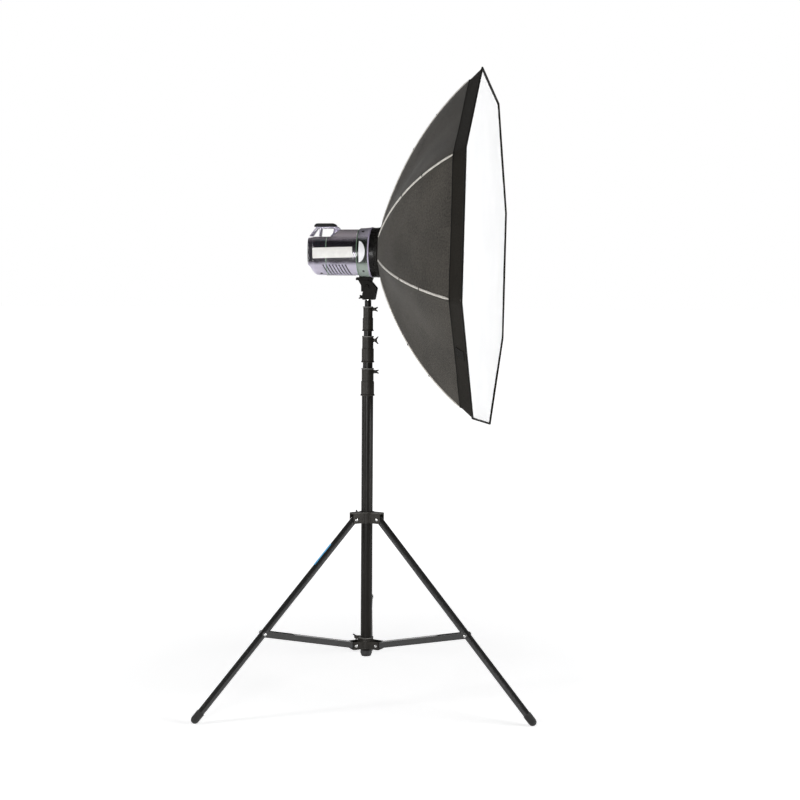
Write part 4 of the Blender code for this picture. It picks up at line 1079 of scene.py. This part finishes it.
def tilted_box(a0, a1, z0, z1, degrees, r=0.0012):
    c, s = math.cos(math.radians(degrees)), math.sin(math.radians(degrees))
    ca, cz = (a0 + a1) / 2, (z0 + z1) / 2
    points = []
    for qx, qz, start in ((1, 1, 0), (-1, 1, 90), (-1, -1, 180), (1, -1, 270)):
        for k in range(4):
            t = math.radians(start + 30 * k)
            x, z = qx * ((a1 - a0) / 2 - r) + r * math.cos(t), qz * ((z1 - z0) / 2 - r) + r * math.sin(t)
            points.append((ca + x * c - z * s, cz + x * s + z * c))
    return points


collar_radius = lambda a, z: math.sqrt(max((0.0732 + max(a + 0.008, 0) * 0.055) ** 2 - z * z, 1e-8))
sticker("blank_label", tilted_box(-0.1560, -0.0345, -0.0172, 0.0143, 1.6), -1, flank_y, 0.00025, LABEL)
moon_points = []
for k in range(21):
    t = math.radians(-90 + 9 * k)
    moon_points.append((-0.0150 + 0.0192 * math.cos(t) ** 1.15 if abs(math.cos(t)) > 1e-6 else -0.0150, 0.0015 + 0.0318 * math.sin(t)))
for side, flank in (("near", -1), ("far", 1)):
    sticker(f"half_disc_{side}", moon_points, flank, collar_radius, 0.0003, MOON)

# ---------------------------------------------------------------- flash head: what shows through the casing


def shield(flank, a0, a1, z0, z1, inset, thick, cols=16, rows=14):
    """A thin plate that follows the casing's side from within."""
    verts = []
    for extra in (0.0, thick):
        for i in range(rows + 1):
            z = z0 + (z1 - z0) * i / rows
            for j in range(cols + 1):
                a = a0 + (a1 - a0) * j / cols
                verts.append(Vector((a, flank * (flank_y(a, z, inset) - extra), z)))
    n, count = cols + 1, (cols + 1) * (rows + 1)
    top = grid(rows + 1, n)
    edge = list(range(n)) + [i * n + n - 1 for i in range(1, rows + 1)] + [rows * n + j for j in range(n - 2, -1, -1)] + [i * n for i in range(rows - 1, 0, -1)]
    faces = top + [tuple(v + count for v in q[::-1]) for q in top] + [(p, q, q + count, p + count) for p, q in zip(edge, edge[1:] + edge[:1])]
    return welded(verts, faces)


chassis = [block((0.126, 0.074, 0.062), (-0.093, 0, -0.004), 0.0030, 3)]
for flank in (-1, 1):
    chassis.append(shield(flank, -0.1130, -0.0275, -0.0325, 0.0340, 0.0036, 0.0012))
    chassis.append(shield(flank, -0.1655, -0.1178, -0.0330, 0.0128, 0.0048, 0.0012))
    chassis.append(shield(flank, -0.1270, -0.0380, -0.0690, -0.0345, 0.0052, 0.0010))
    for k in range(7):                                                  # stiffening ribs standing off the shield
        a = -0.1060 + 0.0125 * k
        chassis.append(block((0.0014, 0.020, 0.058), (a, flank * 0.0465, 0.0000), 0.0003, 1))
    for z in (0.0335, -0.0320):
        chassis.append(block((0.0850, 0.0030, 0.0016), (-0.0700, flank * (flank_y(-0.07, z, 0.0030) - 0.0010), z), 0.0004, 1))
    chassis.append(block((0.0440, 0.0030, 0.0016), (-0.1415, flank * (flank_y(-0.14, 0.0125, 0.0042) - 0.0012), 0.0125), 0.0004, 1))
for k in range(6):
    chassis.append(block((0.112, 0.0016, 0.004), (-0.094, -0.030 + 0.012 * k, 0.0285), 0.0004, 1))
chassis_piece = head_piece("chassis_shields", joined(chassis), DARK_LINER, "plastic")
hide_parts("inner_chassis")

# two flash capacitors under the roof, three pale rods on each side just under the shell as painted highlights, the
# control boards and the trigger coils
cells, leads, boards, coils, parts_small, highlight_rods = [], [], [], [], [], []
for flank in (-1, 1):
    c = (flank * 0.0215, 0.0490)
    cells.append(placed(turned([(-0.0245, 0.0), (-0.0245, 0.0118), (-0.0238, 0.0132), (-0.0225, 0.0135), (0.0205, 0.0135), (0.0212, 0.0129), (0.0220, 0.0129),
                                (0.0228, 0.0135), (0.0240, 0.0132), (0.0245, 0.0120), (0.0245, 0.0)], 40, "X", False), Matrix.Translation((-0.0520, *c))))
    # three pale rods just inside each upper flank stand in for highlights on the casing: painted highlight
    for z, r in ((0.0618, 0.0010), (0.0560, 0.0013), (0.0500, 0.0009)):
        y = flank * (flank_y(-0.06, z, 0.0040) - 0.0010)
        highlight_rods.append(rod((-0.0880, y, z), (-0.0290, y, z), r, 12))
    boards.append(block((0.0390, 0.0016, 0.0270), (-0.1405, flank * 0.0520, 0.0275), 0.0003, 1))
    for k in range(3):
        parts_small.append(rod((-0.1545 + 0.0120 * k, flank * 0.0522, 0.0300), (-0.1545 + 0.0120 * k, flank * 0.0570, 0.0300), 0.0030, 18))
    parts_small.append(block((0.0100, 0.0030, 0.0050), (-0.1300, flank * 0.0540, 0.0200), 0.0004, 1))
    parts_small.append(block((0.0150, 0.0030, 0.0040), (-0.1480, flank * 0.0540, 0.0185), 0.0004, 1))
    for k in range(5):
        leads.append(rod((-0.1580 + 0.0055 * k, flank * 0.0520, 0.0425), (-0.1580 + 0.0055 * k, flank * 0.0520, 0.0380), 0.0008, 10))
    winding = [(x * 0.001, 0.0092 + 0.0005 * (1 if i % 2 else 0)) for i, x in enumerate(range(-11, 12))]
    spool = [(-0.0125, 0.0)] + [(-0.0125, 0.0108), (-0.0112, 0.0108)] + winding + [(0.0112, 0.0108), (0.0125, 0.0108), (0.0125, 0.0)]
    coils.append(placed(turned(spool, 32, "X", False), Matrix.Translation((-0.1390, flank * 0.0330, -0.0420))))
head_piece("flash_capacitors", joined(cells), CELL_SLEEVE, "plastic")
head_piece("highlight_rods_under_roof", joined(highlight_rods), HIGHLIGHT_ROD_PLASTIC, "plastic")
head_piece("board_pins", joined(leads), STEEL, "steel")
head_piece("control_boards", joined(boards), BOARD, "plastic")
head_piece("board_components", joined(parts_small), COMPONENT, "plastic")
head_piece("trigger_coils", joined(coils), COPPER, "steel")

# ---------------------------------------------------------------- flash head: screws, bracket seat, handle, rear panel
head_profile = [(0.00075, 0.0), (0.00072, 0.0012), (0.00045, 0.0022), (0.0, 0.0026), (-0.0016, 0.0026), (-0.0016, 0.0)]
SCREW = carved(turned(head_profile, 28, "Z", False), [block((0.0034, 0.0007, 0.0012), (0, 0, 0.0008), 0), block((0.0007, 0.0034, 0.0012), (0, 0, 0.0008), 0)])
WELL = turned([(0.0004, 0.0029), (0.0004, 0.0037), (0.0, 0.0042), (-0.0014, 0.0042), (-0.0014, 0.0029)], 28, "Z")


def screw_at(point, normal, roll=0.0):
    m = Matrix.Translation(point) @ Vector(normal).to_track_quat("Z", "Y").to_matrix().to_4x4() @ Matrix.Rotation(roll, 4, "Z")
    return placed(SCREW, m), placed(WELL, m)


screws, wells = [], []
places = []
for flank in (-1, 1):
    for angle, a in ((57.5, -0.0083), (-50.0, -0.0040)):
        t = math.radians(angle)
        r = 0.0733
        places.append(((a, flank * r * math.cos(t), r * math.sin(t)), (0, flank * math.cos(t), math.sin(t))))
    z = -0.0632
    y = flank_y(-0.1340, z)
    places.append(((-0.1340, flank * y, z), (0, flank * y / CASE_HALF_W ** 2, 1.35 * z / CASE_HALF_H ** 2)))
for y, z in ((-0.0480, 0.0330), (0.0480, 0.0330), (-0.0440, -0.0310), (0.0440, -0.0310)):
    places.append(((-0.1731, y, z), (-1, 0, 0)))
for k, (p, n) in enumerate(places):
    s, w = screw_at(p, n, 0.4 + 1.1 * k)
    screws.append(s)
    wells.append(w)
head_piece("casing_screws", joined(screws), DARK_SCREW, "steel")
head_piece("screw_wells", joined(wells), DARK_LINER, "plastic")

seat_points = [(-0.0245, -0.0665), (0.0140, -0.0665), (0.0140, -0.0780), (0.0120, -0.0812), (-0.0210, -0.0800), (-0.0245, -0.0770)]
seat = extruded(seat_points, 0.0330, "XZ", 0.0014, 3)
ribs = [block((0.0022, 0.0345, 0.0100), (-0.0180 + 0.0070 * k, 0, -0.0740), 0.0005, 1) for k in range(5)]
head_piece("bracket_seat", joined([seat] + ribs), BRACKET, "casting")

bar = [(-0.1790, 0.0480), (-0.1590, 0.0735), (-0.1590, 0.0790), (-0.1010, 0.0790), (-0.0930, 0.0765), (-0.0860, 0.0690), (-0.0850, 0.0662),
       (-0.0905, 0.0640), (-0.1000, 0.0560), (-0.1080, 0.0500), (-0.1120, 0.0478), (-0.1150, 0.0478), (-0.1070, 0.0560), (-0.1035, 0.0690),
       (-0.1060, 0.0712), (-0.1425, 0.0712), (-0.1455, 0.0480), (-0.1495, 0.0480), (-0.1478, 0.0712), (-0.1550, 0.0712), (-0.1715, 0.0480)]
handle = [extruded(bar, 0.0256, "XZ", 0.0011, 3)]
for flank in (-1, 1):                                                   # raised edge beads along the rear strut and the front web
    for (p, q) in (((-0.1772, 0.0490), (-0.1588, 0.0725)), ((-0.1118, 0.0495), (-0.0995, 0.0600)), ((-0.0995, 0.0600), (-0.0895, 0.0668))):
        handle.append(rod((p[0], flank * 0.0128, p[1]), (q[0], flank * 0.0128, q[1]), 0.0009, 10))
handle_piece = head_piece("handle_body", joined(handle), HANDLE_CLEAR, "casing", sharp=35)
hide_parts("handle_frame")

rings = []
for i in range(73):
    a = -0.1640 + 0.0660 * i / 72
    end = min((a + 0.1640) / 0.0080, (-0.0980 - a) / 0.0110, 1.0)
    ease = math.sin(math.pi / 2 * max(end, 0.0)) ** 0.7
    swell = 0.00045 * (0.5 + 0.5 * math.cos(math.tau * i / 4)) * (1 if end >= 1 else 0)
    half_w, half_h = 0.0128 + 0.0026 * ease, 0.0022 + 0.0032 * ease
    ring = []
    for j in range(28):
        t = math.tau * j / 28
        c, s = math.cos(t), math.sin(t)
        y = (half_w + swell) * math.copysign(abs(c) ** 0.55, c)
        z = (half_h + swell) * math.copysign(abs(s) ** 0.55, s)
        ring.append((a, y, 0.0762 + half_h + z))
    rings.append(ring)
grip_piece = head_piece("ribbed_grip", lofted(rings), GRIP, "rubber", sharp=60)
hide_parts("handle_grip")

# rear panel furniture: a rim bead, cooling grilles, a lens and a fuse cap
def loop_tube(points, radius, normal=(1, 0, 0), sides=8):
    n = len(points)
    verts = []
    for k, p in enumerate(points):
        ahead = (points[(k + 1) % n] - points[k - 1]).normalized()
        side = ahead.cross(Vector(normal)).normalized()
        for q in range(sides):
            s = math.tau * q / sides
            verts.append(p + side * radius * math.cos(s) + Vector(normal) * radius * math.sin(s))
    faces = [(k * sides + q, k * sides + (q + 1) % sides, ((k + 1) % n) * sides + (q + 1) % sides, ((k + 1) % n) * sides + q) for k in range(n) for q in range(sides)]
    return welded(verts, faces)


rim_points = [Vector((-0.1730, y, z)) for _, y, z in case_ring(CASE_REAR + 0.002, WALL + 0.0022, 90)]
furniture = [loop_tube(rim_points, 0.0010)]
for side in (-1, 1):
    for k in range(7):
        z = 0.0235 - 0.0068 * k
        furniture.append(block((0.0016, 0.0100, 0.0016), (-0.1734, side * 0.0450 if side < 0 else 0.0452, z), 0.0005, 2))
for (y, z), w, h in (((0.026, 0.0), 0.0164, 0.0244), ((-0.016, -0.021), 0.0312, 0.0232)):
    frame_points = []
    for qy, qz, start in ((1, 1, 0), (-1, 1, 90), (-1, -1, 180), (1, -1, 270)):
        for k in range(4):
            t = math.radians(start + 30 * k)
            frame_points.append(Vector((-0.1730, y + qy * (w / 2 - 0.0016) + 0.0016 * math.cos(t), z + qz * (h / 2 - 0.0016) + 0.0016 * math.sin(t))))
    furniture.append(loop_tube(frame_points, 0.0007))
for y, z in ((-0.030, 0.022), (-0.014, 0.022)):
    furniture.append(placed(turned([(-0.0010, 0.0046), (-0.0010, 0.0058), (0.0002, 0.0064), (0.0010, 0.0064), (0.0010, 0.0046)], 32, "X"), Matrix.Translation((-0.1730, y, z))))
furniture.append(placed(turned([(-0.0034, 0.0), (-0.0034, 0.0042), (-0.0028, 0.0048), (0.0010, 0.0050), (0.0010, 0.0)], 32, "X", False,
                               lambda t, k: 0.00022 * math.cos(t * 16) if k in (1, 2) else 0.0), Matrix.Translation((-0.1730, 0.008, 0.022))))
head_piece("rear_panel_furniture", joined(furniture), RIM_PLASTIC, "plastic")
lens = [(-0.0026, 0.0), (-0.0024, 0.0011), (-0.0016, 0.0020), (-0.0006, 0.0024), (0.0010, 0.0024), (0.0010, 0.0)]
head_piece("ready_lens", placed(turned(lens, 28, "X", False), Matrix.Translation((-0.1730, 0.026, 0.0225))), LENS, "glass")

# bayonet: a grooved ring behind the speed ring, and the speed ring's own beads and hinge lugs
grooved = [(0.0160, 0.0600), (0.0160, 0.0738), (0.0168, 0.0746), (0.0184, 0.0746), (0.0190, 0.0737), (0.0204, 0.0737), (0.0210, 0.0744), (0.0232, 0.0744),
           (0.0238, 0.0736), (0.0256, 0.0736), (0.0262, 0.0743), (0.0288, 0.0743), (0.0296, 0.0735), (0.0299, 0.0722), (0.0299, 0.0600)]
ring_piece = head_piece("bayonet_collar", turned(grooved, 112), GLOSS_RING, "plastic")
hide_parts("bayonet_ring")
beads = [turned([(0.0308, 0.0728), (0.0308, 0.0742), (0.0316, 0.0748), (0.0330, 0.0748), (0.0338, 0.0742), (0.0338, 0.0728)], 112),
         turned([(0.0352, 0.0728), (0.0352, 0.0739), (0.0358, 0.0743), (0.0368, 0.0743), (0.0374, 0.0739), (0.0374, 0.0728)], 112)]
head_piece("speed_ring_beads", joined(beads), GLOSS_RING, "casting", "octabox")

# ---------------------------------------------------------------- stand: rivets, plates, rims and the blank strip
PIVOT_R, UPPER_Z, LOWER_Z, LEG_TILT, BRACE_DOWN = 0.043, 0.5585, 0.1707, math.radians(43.603), 0.44
LEG_WAYS = [Vector((math.cos(math.radians(t)), math.sin(math.radians(t)), 0.0)) for t in (90, 210, 330)]
CAP = turned([(-0.0006, 0.0), (-0.0006, 0.0048), (0.0006, 0.0051), (0.0016, 0.0044), (0.0024, 0.0030), (0.0028, 0.0014), (0.0029, 0.0)], 28, "Z", False)


def stand_piece(name, part, mat, slot, body, sharp=40.0):
    ob = make(name, part[0], part[1], mat, body, slot)
    ob.data.set_sharp_from_angle(angle=math.radians(sharp))
    return ob


def caps_at(point, across, reach):
    out = []
    for side in (-1, 1):
        m = Matrix.Translation(point + across * side * reach) @ (across * side).to_track_quat("Z", "Y").to_matrix().to_4x4()
        out.append(placed(CAP, m))
    return out


for name, z, reach, body in (("upper_collar_rivets", UPPER_Z, 0.0146, "collar"), ("lower_collar_rivets", LOWER_Z, 0.0166, "column")):
    parts = []
    for way in LEG_WAYS:
        parts += caps_at(way * PIVOT_R + Vector((0, 0, z)), EZ.cross(way), reach)
    stand_piece(name, joined(parts), RIVET, "steel", body)
for i, way in enumerate(LEG_WAYS):
    joint = way * (PIVOT_R + BRACE_DOWN * math.sin(LEG_TILT)) + Vector((0, 0, UPPER_Z - BRACE_DOWN * math.cos(LEG_TILT)))
    stand_piece(f"brace_rivet_{i + 1}", joined(caps_at(joint, EZ.cross(way), 0.0131)), RIVET, "steel", f"brace_arm_{i + 1}")


def lobed_plate(z, thickness, sleeve, half, reach, bore):
    """The plate over a collar: a disc with a lobe along each leg."""
    points = []
    inner = math.sqrt(sleeve ** 2 - half ** 2)
    open_angle = math.degrees(math.atan2(half, inner))
    for t in (90, 210, 330):
        way = Vector((math.cos(math.radians(t)), math.sin(math.radians(t))))
        side = Vector((-way.y, way.x))
        for r, w in ((inner, -half), (reach - 0.004, -half), (reach - 0.0012, -half + 0.0012), (reach, -half + 0.004), (reach, half - 0.004),
                     (reach - 0.0012, half - 0.0012), (reach - 0.004, half), (inner, half)):
            points.append(tuple(way * r + side * w))
        for k in range(1, 8):
            q = math.radians(t + open_angle + (120 - 2 * open_angle) * k / 8)
            points.append((sleeve * math.cos(q), sleeve * math.sin(q)))
    plate = extruded(points, thickness, "XY", 0.0)
    plate = ([p + Vector((0, 0, z)) for p in plate[0]], plate[1])
    return carved(plate, [turned([(z - 0.01, 0.0), (z - 0.01, bore), (z + 0.01, bore), (z + 0.01, 0.0)], 48, "Z", False)])


# the upper collar's top plate and the lower collar's top rim take the lighter painted-highlight casting
stand_piece("upper_collar_plate", lobed_plate(0.5783, 0.0004, 0.0238, 0.0147, 0.0524, 0.0182), TOP_HIGHLIGHT_CAST, "casting", "collar", 30)
stand_piece("upper_collar_sleeve_rim", turned([(0.5768, 0.0185), (0.5768, 0.0228), (0.5784, 0.0229), (0.5787, 0.0223), (0.5787, 0.0204), (0.5785, 0.0185)], 64, "Z"),
            CAST, "casting", "collar")
stand_piece("lower_collar_sleeve_rim", turned([(0.1888, 0.0182), (0.1888, 0.0217), (0.1898, 0.0221), (0.1908, 0.0217), (0.1910, 0.0200), (0.1908, 0.0182)], 64, "Z"),
            TOP_HIGHLIGHT_CAST, "casting", "column")
stand_piece("lower_collar_plate", lobed_plate(0.1585, 0.0010, 0.0238, 0.0167, 0.0524, 0.0182), CAST, "casting", "column", 30)
# each clamp's top rim takes the lighter painted-highlight casting; the foot bands below keep the plain casting
for k, (z1, r, riser, body) in enumerate(((1.0166, 0.0182, 0.0153, "column"), (1.1137, 0.0170, 0.0128, "riser_a"), (1.2026, 0.0143, 0.0103, "riser_b"))):
    rim = [(z1 - 0.0026, r - 0.0004), (z1 - 0.0026, r + 0.0010), (z1 - 0.0016, r + 0.0013), (z1 - 0.0002, r + 0.0011), (z1 + 0.0003, r + 0.0003),
           (z1 + 0.0003, riser + 0.0008), (z1 - 0.0003, riser + 0.0006), (z1 - 0.0004, r - 0.0004)]
    stand_piece(f"clamp_rim_{k + 1}", turned(rim, 64, "Z"), TOP_HIGHLIGHT_CAST, "casting", body)
    low, r_low = ((0.9335, 0.0200), (1.0342, 0.0185), (1.1288, 0.0161))[k]
    stand_piece(f"clamp_foot_band_{k + 1}", turned([(low + 0.0001, r_low + 0.0004), (low + 0.0001, r_low + 0.0014), (low + 0.0009, r_low + 0.0021), (low + 0.0022, r_low + 0.0018),
                                                    (low + 0.0032, r_low + 0.0004)], 64, "Z"), CAST, "casting", body)

# a narrow blank sticker along the upper side of the left leg
way = LEG_WAYS[1]
down = (way * math.sin(LEG_TILT) - EZ * math.cos(LEG_TILT)).normalized()
face = Vector((0.0, -1.0, 0.10))
face = (face - down * face.dot(down)).normalized()
over = down.cross(face)
verts = []
for lift in (0.00030, 0.00008):
    for i in range(17):
        for j in range(13):
            t = math.radians(44 + 70 * j / 12)
            verts.append(way * PIVOT_R + EZ * UPPER_Z + down * (0.1060 + 0.0800 * i / 16) + (face * math.cos(t) + over * math.sin(t)) * (0.0110 + lift))
edge = list(range(13)) + [i * 13 + 12 for i in range(1, 17)] + [16 * 13 + j for j in range(11, -1, -1)] + [i * 13 for i in range(15, 0, -1)]
faces = grid(17, 13) + [tuple(v + 221 for v in q[::-1]) for q in grid(17, 13)] + [(q, p, p + 221, q + 221) for p, q in zip(edge, edge[1:] + edge[:1])]
stand_piece("blank_leg_strip", welded(verts, faces), STRIP, "black_tube", "leg_2", 50)

# ---------------------------------------------------------------- stage, lights, camera


def stage():
    m = Mat("pale_floor", spec=0.15)
    p = m.coords()
    m.to("color", m.ramp(m.noise(p, 0.7, 2.0), [(0.3, (0.88, 0.88, 0.88)), (0.7, (0.91, 0.91, 0.91))]))
    m.to("rough", m.ramp(m.noise(p, 30.0, 2.0), [(0.3, 0.85), (0.7, 0.95)]))
    m.set("Emission Color", (1.0, 1.0, 1.0))
    span = m.node("ShaderNodeVectorMath", operation="LENGTH")
    m.link(p, span.inputs[0])
    far = m.ramp(m.math("MULTIPLY", span.outputs["Value"], 0.2), [(0.16, 0.62), (0.60, 1.0)])
    seen_first = m.node("ShaderNodeLightPath").outputs["Is Camera Ray"]
    m.link(m.math("ADD", m.math("MULTIPLY", seen_first, far), m.math("MULTIPLY", m.math("SUBTRACT", 1.0, seen_first), 0.30)),
           m.shader.inputs["Emission Strength"])
    mesh = bpy.data.meshes.new("floor")
    s = 60.0
    mesh.from_pydata([(-s, -s, 0), (s, -s, 0), (s, s, 0), (-s, s, 0)], [], [(0, 1, 2, 3)])
    mesh.materials.append(m.mat)
    floor = bpy.data.objects.new("floor", mesh)
    bpy.context.scene.collection.objects.link(floor)


def lamp(name, where, aim, size, power, colour=(1, 1, 1), spread=None):
    light = bpy.data.lights.new(name, "AREA")
    light.shape, light.size, light.size_y = "RECTANGLE", size[0], size[1]
    light.energy, light.color = power, colour
    if spread:
        light.spread = math.radians(spread)
    ob = bpy.data.objects.new(name, light)
    ob.location = where
    ob.rotation_euler = (Vector(aim) - Vector(where)).to_track_quat("-Z", "Y").to_euler()
    bpy.context.scene.collection.objects.link(ob)
    return ob


stage()
world = bpy.data.worlds.new("studio")
bpy.context.scene.world = world
world.use_nodes = True
tree = world.node_tree
back = tree.nodes["Background"]
sky, split, shade = tree.nodes.new("ShaderNodeTexCoord"), tree.nodes.new("ShaderNodeSeparateXYZ"), tree.nodes.new("ShaderNodeValToRGB")
shade.color_ramp.elements[0].position, shade.color_ramp.elements[0].color = 0.46, (1.0, 1.0, 1.0, 1)
shade.color_ramp.elements[1].position, shade.color_ramp.elements[1].color = 0.72, (0.17, 0.17, 0.175, 1)
half = tree.nodes.new("ShaderNodeMath")
half.operation = "MULTIPLY_ADD"
half.inputs[1].default_value, half.inputs[2].default_value = 0.5, 0.5
tree.links.new(sky.outputs["Generated"], split.inputs[0])
tree.links.new(split.outputs["Z"], half.inputs[0])
tree.links.new(half.outputs[0], shade.inputs[0])
tree.links.new(shade.outputs[0], back.inputs["Color"])
back.inputs["Strength"].default_value = 0.62
seen = tree.nodes.new("ShaderNodeBackground")
seen.inputs["Color"].default_value = (1, 1, 1, 1)
seen.inputs["Strength"].default_value = 1.0
path, mixer = tree.nodes.new("ShaderNodeLightPath"), tree.nodes.new("ShaderNodeMixShader")
tree.links.new(path.outputs["Is Camera Ray"], mixer.inputs[0])
tree.links.new(back.outputs[0], mixer.inputs[1])
tree.links.new(seen.outputs[0], mixer.inputs[2])
tree.links.new(mixer.outputs[0], tree.nodes["World Output"].inputs[0])
bpy.context.scene.view_settings.view_transform = "Standard"

lamp("key_front", (-1.6, -4.4, 0.85), (0.1, 0, 1.15), (0.95, 1.0), 75)
lamp("left_strip", (-2.9, -1.0, 1.0), (0.0, 0, 0.95), (0.30, 2.4), 34)
lamp("right_fill", (4.4, -1.6, 1.4), (0.3, 0, 1.3), (2.4, 2.6), 150)
lamp("rear_rim", (-2.6, 3.2, 0.9), (0, 0, 0.9), (1.6, 1.6), 14)

camera = bpy.data.cameras.new("camera")
camera.lens, camera.sensor_width = 66.71, 36.0
camera.clip_start, camera.clip_end = 0.05, 100
eye = bpy.data.objects.new("camera", camera)
eye.location = (0.0985, -4.478, 1.284)
eye.rotation_euler = (Matrix.Rotation(math.pi / 2 - 0.081, 3, "X") @ Matrix.Rotation(math.radians(0.4), 3, "Z")).to_euler()
bpy.context.scene.collection.objects.link(eye)
bpy.context.scene.camera = eye
